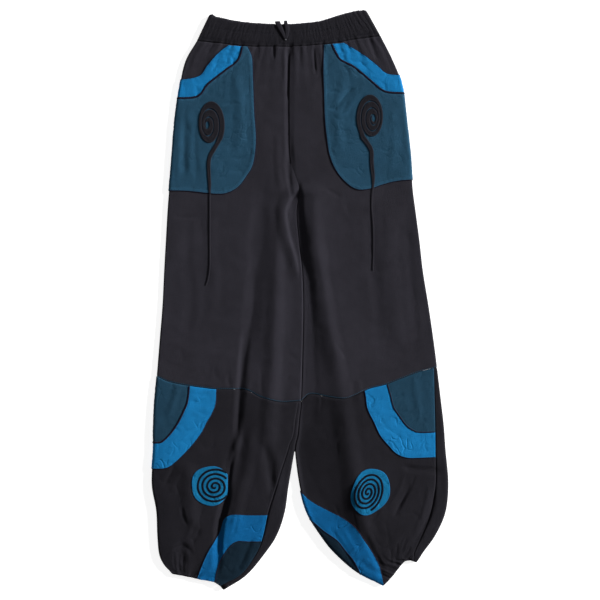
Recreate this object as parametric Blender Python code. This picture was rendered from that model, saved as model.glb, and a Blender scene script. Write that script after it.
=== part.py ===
"""Loose cotton trousers with patch pockets and appliqued legs, laid flat on their back.

Every cloth piece is a thin wall on a surface that runs once round a leg. The surface is worked out from
sections down the legs, and the largest folds are added to it from a table. Sewn-on pieces are cut from the
same surface, moved out. X runs to the right as laid, Y towards the waist and Z up from the resting face.
"""

import math
from collections import namedtuple

import bmesh
import bpy
import numpy as np

MM = 0.001

# Driving sizes, in millimetres.
CLOTH = 1.2  # thickness of a panel's wall
PATCH = 1.0  # thickness of a sewn-on piece
SEAM_GAP = 0.3  # between pieces that are sewn together
LOWEST_FRONT = 3.0  # the front cloth lies on the back cloth at this height
CENTRE_HEIGHT = 7.0  # height of the centre front seam, where both layers and the fly of the cloth meet
CROTCH = 5.0  # the section at which the two legs part
KNEE = 11.0  # the section of the knee seam
HEM = 20.0  # the last section
SEAM_BEHIND = 3.0  # how far past a turned edge a hidden side seam lies
EDGE_FADE = 9.0  # folds fade out this near a turned edge
PUFF_FADE = 26.0  # and the swelling of a leg this near
CROTCH_DIP = 32.0  # how far the cloth sinks to either side of the gap between the legs

BAND_WALL = 2.2  # waistband: doubled cloth over elastic
BAND_ROLL = 4.1  # radius of its two turned ends
BAND_GATHERS = 34  # gathers across its front
BAND_MIDDLE = 0.52  # share of the band that lies over the left leg
GATHER_DEPTH = 1.1
WAIST_FOLDS = 9  # soft folds under the band, across each front
HEM_FOLDS = 7  # gathers at each elastic hem
COLUMNS = 17  # steps across the flat of each front

DRAWSTRING = 5.0  # width of the flat cord
DRAWSTRING_THICK = 1.6

# The legs, section by section from waist to hem: where each turned edge lies, as laid, the radius of the
# turned edge outside and inside, and how far the cloth swells between them.
Section = namedtuple(
    "Section",
    "place left_outer left_inner right_inner right_outer roll roll_left roll_right puff",
)
SECTIONS = (
    Section("waist seam", (-183, 459), (-17, 449), (-17, 449), (143, 468), 3.6, 3.0, 3.0, 0.5),
    Section("hip top", (-203, 424), (-18, 420), (-18, 420), (165, 424), 3.5, 3.0, 3.0, 1.0),
    Section("pocket mouth", (-213, 381), (-19, 378), (-19, 378), (181, 381), 3.4, 3.0, 3.0, 1.0),
    Section("hip", (-222, 318), (-19, 314), (-19, 314), (189, 318), 3.3, 3.0, 3.0, 0.5),
    Section("low hip", (-227, 254), (-17, 250), (-17, 250), (196, 254), 3.2, 2.5, 2.5, 0.0),
    Section("crotch", (-232, 197), (-1, 197), (-1, 197), (200, 197), 3.1, 1.6, 1.6, 0.0),
    Section("thigh top", (-235, 158), (-6, 158), (-6, 158), (205, 158), 3.0, 1.6, 1.6, 0.0),
    Section("upper thigh", (-238, 105), (-2, 105), (-2, 105), (212, 105), 3.0, 1.8, 1.6, -0.3),
    Section("thigh", (-241, 52), (4, 52), (4, 52), (218, 52), 3.0, 3.0, 1.7, -0.5),
    Section("low thigh", (-244, -10), (6, -10), (6, -10), (228, -10), 3.0, 3.2, 1.8, -0.5),
    Section("above knee", (-249, -72), (5, -73), (5, -73), (237, -72), 3.1, 3.2, 1.9, 0.0),
    Section("knee seam", (-254, -135), (2, -179), (2, -179), (243, -119), 3.3, 3.3, 2.1, 1.0),
    Section("below knee", (-258, -183), (-1, -208), (-1, -208), (249, -170), 3.6, 3.5, 2.4, 2.0),
    Section("calf", (-260, -231), (-4, -240), (-4, -240), (255, -222), 4.0, 3.8, 3.0, 2.5),
    Section("notch", (-260, -264), (-9, -264), (-9, -264), (258, -264), 4.3, 4.0, 3.6, 3.0),
    Section("balloon", (-263, -325), (-20, -328), (-1, -328), (263, -325), 4.7, 4.5, 4.5, 3.5),
    Section("low balloon", (-255, -373), (-27, -376), (12, -376), (258, -376), 4.8, 4.7, 4.7, 4.0),
    Section("shin", (-253, -417), (-41, -417), (37, -417), (240, -417), 4.6, 4.6, 4.6, 4.0),
    Section("above hem", (-250, -449), (-62, -449), (61, -447), (220, -445), 4.3, 4.3, 4.3, 3.5),
    Section("hem gathers", (-242, -468), (-95, -488), (100, -481), (213, -456), 4.0, 4.0, 4.0, 2.5),
    Section("hem", (-227, -485), (-135, -514), (148, -506), (207, -465), 3.6, 3.6, 3.6, 1.5),
)

# Where a section's line is bowed as laid: (share of the way from outer to inner edge, rise towards the waist),
# and how far round the leg the bow goes, from 0 for the front alone to 1 for the back as well.
Bow = namedtuple("Bow", "leg section reach behind rises")
BOWS = (
    Bow("left", 0, 1.5, 0, ((0, 0), (0.3, -2), (0.55, -4), (0.8, -2), (1, 0))),
    Bow("right", 0, 1.5, 0, ((0, 0), (0.3, -1), (0.55, -3), (0.8, -2), (1, 0))),
    Bow(
        "left",
        KNEE,
        1.2,
        0,
        ((0, 0), (0.08, -6), (0.22, -7), (0.4, -5), (0.53, 0), (0.62, 3), (0.72, -5), (0.86, -8), (1, 0)),
    ),
    Bow(
        "right",
        KNEE,
        1.2,
        0,
        ((0, 0), (0.12, 0), (0.26, -4), (0.38, -8), (0.5, -8), (0.67, -15), (0.8, -5), (0.94, 8), (1, 0)),
    ),
    Bow("left", HEM, 1.0, 1, ((0, 0), (0.33, 4), (0.55, 6), (0.8, 9), (0.92, 6), (1, 0))),
    Bow("right", HEM, 1.0, 1, ((0, 0), (0.1, 6), (0.2, 12), (0.37, 17), (0.56, 12), (0.73, 6), (0.9, 2), (1, 0))),
)

# The largest folds of the front, each along a smooth line: its height (a trough is negative) and its half
# width to the left and to the right of the line, as walked from its first point.
Fold = namedtuple("Fold", "place leg height left right line")
FOLDS = (
    Fold("centre front seam", "left", -2.4, 9, 9, ((-17, 520), (-18, 446), (-19, 380), (-19, 314), (-17, 250), (-9, 212))),
    Fold("centre front seam", "right", -2.4, 9, 9, ((-17, 520), (-18, 446), (-19, 380), (-19, 314), (-17, 250), (-9, 212))),
    Fold("crotch edge", "left", 4.5, 6, 20, ((4, 205), (-14, 186), (-27, 158), (-22, 116), (-9, 70), (-4, 30))),
    Fold("left hip", "left", -1.8, 12, 12, ((-200, 330), (-204, 270), (-206, 210))),
    Fold("left pocket", "left", 1.6, 16, 16, ((-120, 420), (-104, 340), (-110, 250))),
    Fold("left thigh valley", "left", -2.2, 22, 20, ((-66, 215), (-76, 100), (-84, -10), (-96, -100))),
    Fold("left knee crease", "left", -4.0, 13, 10, ((-93, -40), (-101, -100), (-106, -160), (-110, -215), (-113, -262))),
    Fold("left shin crease", "left", -6.0, 10, 13, ((-110, -250), (-124, -295), (-129, -345), (-140, -392), (-144, -440), (-146, -492))),
    Fold("left inner ridge", "left", 2.6, 20, 22, ((-38, 170), (-42, 20), (-46, -90), (-52, -200), (-60, -290))),
    Fold("left calf ridge", "left", 4.0, 18, 16, ((-84, -205), (-92, -285), (-110, -360), (-118, -430))),
    Fold("left calf trough", "left", -2.2, 12, 12, ((-62, -250), (-52, -300), (-48, -350))),
    Fold("left outer ridge", "left", 3.0, 22, 22, ((-200, -280), (-196, -340), (-190, -410))),
    Fold("left hem hollow", "left", -3.0, 12, 12, ((-205, -425), (-209, -445), (-205, -475))),
    Fold("leg gap", "right", -2.4, 22, 11, ((0, 190), (3, 110), (9, 20), (12, -70), (14, -165), (10, -240))),
    Fold("right facet", "right", 3.2, 22, 30, ((19, 190), (27, 97), (37, 30), (48, -40), (64, -110), (72, -175))),
    Fold("right calf facet", "right", 3.2, 26, 28, ((68, -130), (80, -231), (93, -302), (107, -390), (134, -455))),
    Fold("right thigh", "right", 1.4, 26, 26, ((160, 190), (158, 80), (170, -30), (176, -100))),
    Fold("right calf crease", "right", -3.6, 8, 9, ((192, -318), (180, -350), (166, -385))),
    Fold("right side crease", "right", -4.0, 8, 9, ((238, -325), (231, -370), (214, -412), (196, -440))),
    Fold("right calf step", "right", -2.4, 9, 10, ((178, -296), (215, -301), (256, -303))),
    Fold("right hem crease", "right", -4.5, 9, 9, ((108, -405), (126, -440), (139, -470), (148, -500))),
    Fold("right pocket", "right", 1.5, 14, 14, ((84, 410), (66, 330), (74, 250))),
)

# How far inside the turned edge the visible seams of the lower legs run, along the cloth, section by section.
LEFT_INSEAM = (7.5, 8.5, 10, 14, 24, 32, 27, 18, 11, 8.5)  # from the knee to the hem
RIGHT_SIDE_SEAM = (8, 13, 18, 21, 26, 30, 28, 20, 13, 9)

# Sewn-on pieces, as outlines in millimetres as laid. A straight run has a corner at each end.
LEFT_POCKET = ((-245, 194), (-200, 193), (-150, 188), (-128, 190), (-109, 201), (-95, 219), (-84, 238), (-79, 265),
               (-78, 293), (-81, 335), (-83, 396), (-85, 430), (-93, 449))
LEFT_MOUTH_LOW = ((-102, 449), (-105, 435), (-112, 422), (-130, 408), (-162, 383), (-183, 360), (-230, 357))
LEFT_MOUTH_HIGH = ((-127, 451), (-146, 436), (-164, 415), (-180, 396), (-225, 388))
RIGHT_POCKET = ((214, 214), (175, 211), (148, 205), (128, 198), (109, 195), (98, 197), (86, 204), (70, 220), (59, 238),
                (52, 258), (48, 281), (44, 318), (42, 373), (41, 410), (42, 452))
RIGHT_MOUTH_LOW = ((56, 453), (64, 436), (73, 424), (96, 412), (124, 389), (143, 373), (160, 367), (198, 366))
RIGHT_MOUTH_HIGH = ((78, 455), (111, 435), (137, 415), (150, 403), (164, 399), (196, 398))
LEFT_KNEE_INNER = ((-195, -140), (-199, -178), (-206, -197), (-217, -219), (-229, -236), (-241, -248), (-250, -252),
                   (-275, -252))
LEFT_KNEE_OUTER = ((-148, -146), (-149, -181), (-156, -201), (-164, -215), (-175, -236), (-192, -258), (-210, -277),
                   (-227, -292), (-242, -298), (-275, -298))
RIGHT_KNEE_INNER = ((150, -136), (160, -169), (165, -189), (176, -206), (188, -222), (201, -231), (213, -234),
                    (262, -233))
RIGHT_KNEE_OUTER = ((111, -146), (116, -171), (119, -192), (130, -215), (142, -240), (157, -258), (171, -272),
                    (190, -279), (215, -279), (262, -277))
LEFT_HEM_OUTER = ((-40, -380), (-88, -380), (-120, -379), (-134, -388), (-141, -408), (-152, -427), (-167, -454),
                  (-185, -498))
LEFT_HEM_INNER = ((-40, -427), (-88, -427), (-112, -427), (-127, -439), (-139, -458), (-147, -480), (-152, -508))
RIGHT_HEM_OUTER = ((0, -338), (12, -350), (26, -360), (47, -371), (75, -385), (98, -402), (114, -425), (131, -452),
                   (141, -473), (150, -512))
RIGHT_HEM_INNER = ((4, -378), (20, -390), (41, -408), (65, -425), (79, -442), (96, -463), (110, -492))

# Round patches on the shins: centre, half sizes, tilt in degrees, and the line of the crease that hides a side.
Disc = namedtuple("Disc", "side centre half_x half_y tilt crease_x")
DISCS = (
    Disc("left", (-157, -328), 35, 35, 0, -128),
    Disc("right", (124, -338), 33, 42, -24, 400),
)

# Wound strips on the pockets: an oval spiral whose turns drift to one side, and a tail that hangs from it,
# as (x, y, width). Angles are in degrees, and the pitch is a share of the coil's half size.
Coil = namedtuple("Coil", "side centre half_x half_y drift turn start turns pitch tail")
COILS = (
    Coil("left", (-157.5, 311.5), 25.2, 45.0, (-7.0, -1.4), 1, -33, 2.3, 0.31,
         ((-145.5, 278, 7), (-152, 267, 7), (-158, 257, 7), (-161, 247, 6.6), (-161.5, 236, 6.2), (-161, 222, 5.8),
          (-160, 206, 5.4), (-160, 192, 4), (-160, 160, 3), (-160, 110, 2.8), (-160, 60, 2.8), (-163, 38, 2.8),
          (-167, 26, 2.8))),
    Coil("right", (124.5, 324.0), 25.2, 43.5, (7.0, -3.2), -1, 213, 2.4, 0.26,
         ((112, 287, 8.5), (119, 278, 8), (125, 268, 7.6), (127, 260, 7), (127, 247, 6.8), (128, 233, 6.6),
          (129.5, 219, 6.2), (129.5, 206, 4.4), (127, 180, 3), (127, 160, 3), (129.5, 130, 2.8), (130, 90, 2.8),
          (129, 52, 2.8))),
)
COIL_LINE = 0.05  # the line left between turns, as a share of the coil's half size
COIL_HOLE = 0.13

# The waistband's top edge, from left to right, with the small peaks of its gathered corners.
BAND_TOP = ((-160, 499), (-157, 506), (-149, 502), (-116, 495), (-84, 491), (-26, 489), (33, 494), (86, 509),
            (112, 513.4), (117, 512))

# Round the waistband's wall: (share of its height, distance out of its inner face).
BAND_PROFILE = ((0, 0.0), (0, 2.2), (0.5, 2.2), (0.95, 2.2), (1, 1.2), (0.97, 0.0))

# The flat cord of the waist: out of its eyelet, up over the band's edge, and down inside. (x, y, z, width)
CORDS = (
    ("left", ((-27, 462, 10.6, 3.2), (-30, 470, 10.8, 4.2), (-35, 480, 10.8, 5), (-39, 488, 10.6, 5),
              (-40, 493, 9.6, 5), (-40, 495.5, 7.2, 5), (-40, 491, 4.7, 5), (-39, 482, 4.1, 5), (-38, 462, 4.1, 4.5))),
    ("right", ((-23.2, 462, 10.6, 3.2), (-23, 470, 10.8, 4.2), (-23, 480, 10.8, 4.8), (-22, 489, 10.6, 4.8),
               (-22, 494, 9.6, 4.8), (-22, 496.5, 7.2, 4.8), (-22, 492, 4.7, 4.8), (-22, 482, 4.1, 4.8),
               (-23, 460, 4.1, 4.5))),
)

BLACK = (0.0200, 0.0188, 0.0250)
TEAL = (0.0165, 0.0620, 0.1080)
DEEP_TEAL = (0.0120, 0.0440, 0.0740)
BLUE = (0.0140, 0.1600, 0.3800)


def smooth(rows, at):
    """The smooth curve through rows that are numbered 0, 1, 2 ..., at any places between them."""
    rows, at = np.asarray(rows, float), np.asarray(at, float)
    first = np.clip(np.floor(at).astype(int), 0, len(rows) - 2)
    padded = np.concatenate([[2 * rows[0] - rows[1]], rows, [2 * rows[-1] - rows[-2]]])
    a, b, c, d = (padded[first + k] for k in range(4))
    t = (at - first).reshape(at.shape + (1,) * (rows.ndim - 1))
    return b + 0.5 * t * (c - a + t * (2 * a - 5 * b + 4 * c - d + t * (3 * (b - c) + d - a)))


def curve(points, steps=2):
    """Points along the smooth curve through the given ones."""
    return smooth(points, np.linspace(0, len(points) - 1, (len(points) - 1) * steps + 1))


def ease(x):
    x = np.clip(x, 0, 1)
    return x * x * (3 - 2 * x)


def fold_height(fold, x, y):
    """How much a fold adds to the cloth's height at (x, y)."""
    line = curve(fold.line, 4)
    start, step = line[:-1], np.diff(line, axis=0)
    point = np.stack([x, y], axis=-1)[..., None, :] - start
    along = np.clip((point * step).sum(-1) / (step * step).sum(-1), 0, 1)
    away = point - along[..., None] * step
    distance = np.linalg.norm(away, axis=-1)
    near = distance.argmin(-1)[..., None]
    pick = lambda values: np.take_along_axis(values, near, -1)[..., 0]
    side = pick(step[:, 0] * away[..., 1] - step[:, 1] * away[..., 0])
    width = np.where(side > 0, fold.left, fold.right)
    share = (near[..., 0] + pick(along)) / len(start)
    across = 0.5 + 0.5 * np.cos(np.pi * np.clip(pick(distance) / width, 0, 1))
    return fold.height * across * ease(share / 0.22) * ease((1 - share) / 0.22)


class Leg:
    """One half of the trousers as a surface round it. A place on it is (v, a): v counts the sections, and a
    is the length along the cloth from the outer turned edge, over the front to the inner one, and back."""

    def __init__(self, side):
        self.side = side
        self.sign = 1 if side == "left" else -1
        self.outer_rows = [getattr(s, side + "_outer") for s in SECTIONS]
        self.rolls = [(s.roll, getattr(s, "roll_" + side), s.puff) for s in SECTIONS]
        self.bows = [b for b in BOWS if b.leg == side]
        self.folds = [f for f in FOLDS if f.leg == side]

    def outer(self, v):
        return smooth(self.outer_rows, v)

    def inner(self, v):
        """The inner edge. The two legs keep a seam's gap between them until they part."""
        left = smooth([s.left_inner for s in SECTIONS], v)
        right = smooth([s.right_inner for s in SECTIONS], v)
        spread = (right - left) / 2
        spread[..., 0] = np.maximum(spread[..., 0], SEAM_GAP / 2)
        return (left + right) / 2 - self.sign * spread

    def sizes(self, v):
        """At section v: width, radius of the outer and inner edge, swelling, and how far the inner edge is closed."""
        width = np.linalg.norm(self.inner(v) - self.outer(v), axis=-1)
        roll, roll_in, puff = np.moveaxis(smooth(self.rolls, v), -1, 0)
        return width, roll, roll_in, puff, ease((v - CROTCH) / 0.5)

    def length(self, v):
        """Length of the cloth from edge to edge across the front."""
        width, roll, roll_in, _, _ = self.sizes(v)
        return width + (math.pi / 2 - 1) * (roll + roll_in)

    def plan(self, u, v, front=1.0):
        """Where the share u of the way from outer to inner edge lies, seen from above. front is 0 behind."""
        point = self.outer(v) * (1 - u)[..., None] + self.inner(v) * u[..., None]
        for bow in self.bows:
            at, rise = zip(*bow.rises)
            rises = smooth(rise, np.interp(u, at, range(len(at))))
            rises = rises * np.maximum(front, bow.behind)
            point[..., 1] += rises * np.exp(-(((v - bow.section) / bow.reach) ** 2))
        return point

    def front(self, u, v, x, y):
        """Height of the front cloth, as if its edges weren't turned."""
        width, roll, roll_in, puff, closed = self.sizes(v)
        edge = CENTRE_HEIGHT * (1 - closed) + 2 * roll_in * closed
        sunk = ease((v - 3.5) / 5)
        inner = CENTRE_HEIGHT * (1 - sunk) + 2 * roll_in * sunk
        outside = 1 - np.exp(-((u * width / EDGE_FADE) ** 2))
        inside = 1 - closed * np.exp(-(((1 - u) * width / EDGE_FADE) ** 2))
        swell = (1 - np.exp(-u * width / PUFF_FADE)) * (1 - closed * np.exp(-(1 - u) * width / PUFF_FADE))
        added = sum(fold_height(fold, x, y) for fold in self.folds)
        added += GATHER_DEPTH * 1.3 * np.cos(2 * math.pi * WAIST_FOLDS * (u + 0.03 * np.sin(17 * u))) * ease(1 - v / 2.6)
        added += 2.0 * np.cos(2 * math.pi * HEM_FOLDS * (u + 0.02 * np.sin(13 * u))) * ease((v - HEM + 3) / 3)
        height = 2 * roll * (1 - u) + inner * u + (edge - inner) * np.exp(-(((1 - u) * width / CROTCH_DIP) ** 2))
        height += puff * swell + added * outside * inside
        spare = height - LOWEST_FRONT
        return LOWEST_FRONT + np.where(spare > 1, spare, np.exp(np.minimum(spare, 1) - 1))

    def point(self, v, a):
        """The place (v, a) on the surface, in millimetres."""
        width, roll, roll_in, _, closed = self.sizes(v)
        half = self.length(v)
        a = half - (half - a) % (2 * half)
        run = np.abs(a)
        outer_turn, inner_turn = (np.clip(s, 0, math.pi / 2) for s in (run / roll, (half - run) / roll_in))
        flat = np.clip(run - math.pi / 2 * roll, 0, width - roll - roll_in)
        u = (roll * (1 - np.cos(outer_turn)) + flat + roll_in * (np.cos(inner_turn))) / width
        x, y = np.moveaxis(self.plan(u, v, a >= 0), -1, 0)
        drop = roll * (1 - np.sin(outer_turn)) + closed * roll_in * (1 - np.sin(inner_turn))
        z = np.where(a >= 0, self.front(u, v, x, y) - drop, drop)
        return np.stack([x, y, z], axis=-1)

    def facing(self, v, a):
        """The direction out of the cloth at (v, a). Down to the crotch, front and back part at the inner edge."""
        half, parted = self.length(v), self.sizes(v)[-1] < 1
        before, after = a - 0.25, a + 0.25
        after = np.where(parted & (a < half), np.minimum(after, half - 0.001), after)
        before = np.where(parted & (a > half), np.maximum(before, half + 0.001), before)
        along = self.point(v, after) - self.point(v, before)
        above, below = np.maximum(v - 0.02, 0), np.minimum(v + 0.02, HEM)
        down = self.point(below, a * self.length(below) / half) - self.point(above, a * self.length(above) / half)
        normal = self.sign * np.cross(down, along)
        seam = parted & (np.abs(a - half) < 0.5)
        normal[seam, 0] = self.sign * np.maximum(self.sign * normal[seam, 0], 0)
        return normal / np.linalg.norm(normal, axis=-1, keepdims=True)


LEGS = {side: Leg(side) for side in ("left", "right")}


def chain(*stops):
    """Stations across a panel: places and, between them, how many steps to take from one to the next."""
    places, counts = stops[0::2], stops[1::2]
    columns = [places[0]]
    for start, end, count in zip(places, places[1:], counts):
        columns += [start + (end - start) * k / count for k in range(1, count + 1)]
    return np.stack(columns, axis=-1)


Grid = namedtuple("Grid", "leg v a point facing")


def grid_of(side, v, stations):
    """The points and directions of a panel's cloth, a row for each section and a column for each station."""
    leg = LEGS[side]
    down = np.repeat(v[:, None], stations.shape[1], axis=1)
    return Grid(leg, down, stations, leg.point(down, stations), leg.facing(down, stations))


def upper_grid(side, face):
    """A panel from the waist to the knee: its side seam is just under the outer edge."""
    v = np.array([0.012, 0.45, 0.9, 1.5, 2.2, 3, 3.8, 4.5, 5, 5.25, 5.6, 6.3, 7.2, 8.2, 9.2, 10.2, KNEE])
    v[-1] -= SEAM_GAP / 2 / 50
    leg = LEGS[side]
    half = leg.length(v)
    _, roll, roll_in, _, _ = leg.sizes(v)
    turn, turn_in = math.pi / 2 * roll, math.pi / 2 * roll_in
    seam = turn + SEAM_BEHIND
    middle = half - turn_in
    if face == "front":
        return grid_of(side, v, chain(-seam, 1, -turn, 2, 0 * v, 2, turn, COLUMNS, middle, 2, half - SEAM_GAP / 2))
    return grid_of(side, v, chain(half + SEAM_GAP / 2, 2, half + turn_in, 5, 2 * half - seam - SEAM_GAP))


def lower_grid(side, face):
    """A panel from the knee to the hem. One of its seams shows on the front, inside the turned edge."""
    v = np.array([0, 0.6, 1.2, 1.9, 2.6, 3.3, 4, 4.6, 5.2, 5.8, 6.4, 7, 7.6, 8.1, 8.6, 9]) + KNEE
    v[0] += SEAM_GAP / 2 / 50
    leg = LEGS[side]
    half = leg.length(v)
    _, roll, roll_in, _, _ = leg.sizes(v)
    turn, turn_in = math.pi / 2 * roll, math.pi / 2 * roll_in
    middle = half - turn_in
    if side == "left":
        seam, hidden = half - smooth(LEFT_INSEAM, v - KNEE), turn + SEAM_BEHIND
        last = turn + (seam + (middle - seam)[0] - turn) * (COLUMNS - 1) / COLUMNS
        if face == "front":
            return grid_of(side, v, chain(-hidden, 1, -turn, 2, 0 * v, 2, turn, COLUMNS - 1, last, 1, seam))
        return grid_of(side, v, chain(seam + SEAM_GAP, 1, half - turn_in, 2, half, 2, half + turn_in, 5,
                                      2 * half - hidden - SEAM_GAP))
    seam, hidden = smooth(RIGHT_SIDE_SEAM, v - KNEE), half + turn_in + SEAM_BEHIND
    start = seam - (seam - turn)[0]
    first = start + (middle - start) / COLUMNS
    if face == "front":
        return grid_of(side, v, chain(seam, 1, first, COLUMNS - 1, middle, 2, half, 2, half + turn_in, 1, hidden))
    return grid_of(side, v, chain(hidden + SEAM_GAP, 5, 2 * half - turn, 2, 2 * half, 2, 2 * half + turn, 1,
                                  2 * half + seam - SEAM_GAP))


def material(name, colour, roughness):
    made = bpy.data.materials.get(name) or bpy.data.materials.new(name)
    made.use_nodes = True
    shader = made.node_tree.nodes["Principled BSDF"]
    shader.inputs["Base Color"].default_value = (*colour, 1)
    shader.inputs["Roughness"].default_value = roughness
    shader.inputs["Metallic"].default_value = 0
    return made


def new_object(name, points, faces, collection, look=None):
    """A closed mesh, given in millimetres, with its faces turned out."""
    mesh = bpy.data.meshes.new(name)
    mesh.from_pydata((np.asarray(points) * MM).tolist(), [], faces)
    shape = bmesh.new()
    shape.from_mesh(mesh)
    bmesh.ops.recalc_face_normals(shape, faces=shape.faces)
    shape.to_mesh(mesh)
    shape.free()
    made = bpy.data.objects.new(name, mesh)
    collection.objects.link(made)
    if look:
        mesh.materials.append(look)
    return made


def wall_mesh(inside, outside):
    """Points and triangles of a wall between two grids of points. Facing rims are cut into triangles alike."""
    rows, columns, _ = inside.shape
    count = rows * columns
    at = lambda i, j, layer: layer * count + i * columns + j
    faces = []
    for i in range(rows - 1):
        for j in range(columns - 1):
            for layer in (0, 1):
                a, b, c, d = at(i, j, layer), at(i + 1, j, layer), at(i + 1, j + 1, layer), at(i, j + 1, layer)
                faces += [(a, b, c), (a, c, d)] if layer else [(c, b, a), (d, c, a)]
    rim = [(i, 0) for i in range(rows)] + [(rows - 1, j) for j in range(1, columns)]
    rim += [(i, columns - 1) for i in range(rows - 2, -1, -1)] + [(0, j) for j in range(columns - 2, 0, -1)]
    for (i, j), (k, m) in zip(rim, rim[1:] + rim[:1]):
        a, b, c, d = at(i, j, 0), at(k, m, 0), at(k, m, 1), at(i, j, 1)
        faces += [(a, b, c), (a, c, d)] if k > i or m > j else [(a, b, d), (b, c, d)]
    return np.concatenate([inside.reshape(-1, 3), outside.reshape(-1, 3)]), faces


def panel(name, grid, collection, look):
    points, faces = wall_mesh(grid.point - CLOTH * grid.facing, grid.point)
    return new_object(name, points, faces, collection, look)


def patch(name, grid, outline, lift, collection, cutters, look, thickness=PATCH):
    """A piece sewn on a panel: the panel's cloth, moved out by lift, inside an outline seen from above."""
    points, faces = wall_mesh(grid.point + lift * grid.facing, grid.point + (lift + thickness) * grid.facing)
    made = new_object(name, points, faces, collection, look)
    cutter = prism(name + ".outline", outline, cutters)
    cut = made.modifiers.new("Outline", "BOOLEAN")
    cut.operation, cut.object, cut.solver = "INTERSECT", cutter, "EXACT"
    return made


def prism(name, outline, collection):
    """An upright block over an outline, which cuts a patch to its shape."""
    outline = np.asarray(outline)
    count = len(outline)
    layers = [np.column_stack([outline, np.full(count, z)]) for z in (-20.0, 60.0)]
    faces = [tuple(range(count)), tuple(range(2 * count - 1, count - 1, -1))]
    faces += [(k, (k + 1) % count, (k + 1) % count + count, k + count) for k in range(count)]
    made = new_object(name, np.concatenate(layers), faces, collection)
    made.display_type, made.hide_render = "WIRE", True
    return made


def part_of(grid, rows, columns):
    """The stretch of a panel's grid between two sections, from the outer edge's crest on or up to the inner's."""
    i = np.flatnonzero((grid.v[:, 0] >= rows[0]) & (grid.v[:, 0] <= rows[1]))
    cut = lambda values: values[i[0] : i[-1] + 1, columns]
    return Grid(grid.leg, cut(grid.v), cut(grid.a), cut(grid.point), cut(grid.facing))


def offset(line, distance):
    """A line moved sideways, to its left for a positive distance."""
    line = np.asarray(line, float)
    way = np.gradient(line, axis=0)
    side = np.column_stack([-way[:, 1], way[:, 0]])
    return line + distance * side / np.linalg.norm(side, axis=1, keepdims=True)


def between(first, second, trim_first=0.0, trim_second=0.0):
    """The outline between two curves that start at the same end, each moved in by its trim."""
    return np.concatenate([offset(curve(first), trim_first), offset(curve(second), trim_second)[::-1]])


def coil_outline(coil):
    """A flat strip wound into an oval, with its tail: one outline, out along one edge and back along the other."""
    turned = np.linspace(0, coil.turns, 38)
    angle = math.radians(coil.start) + coil.turn * 2 * math.pi * turned
    way = np.column_stack([coil.half_x * np.cos(angle), coil.half_y * np.sin(angle)])

    def edge(size):
        return np.array(coil.centre) + (1 - size)[:, None] * np.array(coil.drift) + size[:, None] * way

    size = 1 - coil.pitch * turned
    outer_edge, inner_edge = edge(size), edge(np.maximum(size - coil.pitch + COIL_LINE, COIL_HOLE))
    tail = curve(coil.tail, 1)
    side = np.gradient(tail[:, :2], axis=0)
    side = coil.turn * np.column_stack([-side[:, 1], side[:, 0]])
    side /= np.linalg.norm(side, axis=1, keepdims=True)
    left, right = (tail[:, :2] + s * side * tail[:, 2:] / 2 for s in (1, -1))
    return np.concatenate([right[::-1], inner_edge, outer_edge[::-1], left])


def disc_outline(disc):
    """A hand-cut round patch, slightly uneven, cut straight where a crease hides its side."""
    angles = np.linspace(0, 2 * math.pi, 25)[:-1]
    uneven = 1 + 0.025 * np.sin(3 * angles + 0.6) + 0.02 * np.cos(5 * angles)
    tilt = math.radians(disc.tilt)
    x, y = disc.half_x * np.cos(angles) * uneven, disc.half_y * np.sin(angles) * uneven
    turned = np.column_stack([x * math.cos(tilt) - y * math.sin(tilt), x * math.sin(tilt) + y * math.cos(tilt)])
    outline = turned + np.array(disc.centre)
    outline[:, 0] = np.minimum(outline[:, 0], disc.crease_x)
    return outline


def band_points(share, turn, height, out):
    """Points of the waistband. turn is 1 on the front, -1 on the back and between them round an end; height
    runs from the seam to the top edge, and out is the distance from the inner face."""
    left, right = LEGS["left"], LEGS["right"]
    section, front = np.zeros_like(share), (turn + 1) / 2
    from_left = left.plan(np.clip(share / BAND_MIDDLE, 0, 1), section, front)
    from_right = right.plan(np.clip((1 - share) / (1 - BAND_MIDDLE), 0, 1), section, front)
    low = np.where((share < BAND_MIDDLE)[:, None], from_left, from_right) + [0, SEAM_GAP]
    top_x, top_y = np.transpose(BAND_TOP)
    x = top_x[0] + share * (top_x[-1] - top_x[0])
    top = np.column_stack([x, smooth(top_y, np.interp(x, top_x, range(len(top_x))))])
    radius = BAND_ROLL - BAND_WALL + out
    x, y = (low * (1 - height) + top * height).T
    x = x + np.where(share > BAND_MIDDLE, radius, -radius) * np.cos(turn * math.pi / 2)
    return np.column_stack([x, y, BAND_ROLL + radius * np.sin(turn * math.pi / 2)])


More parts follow.
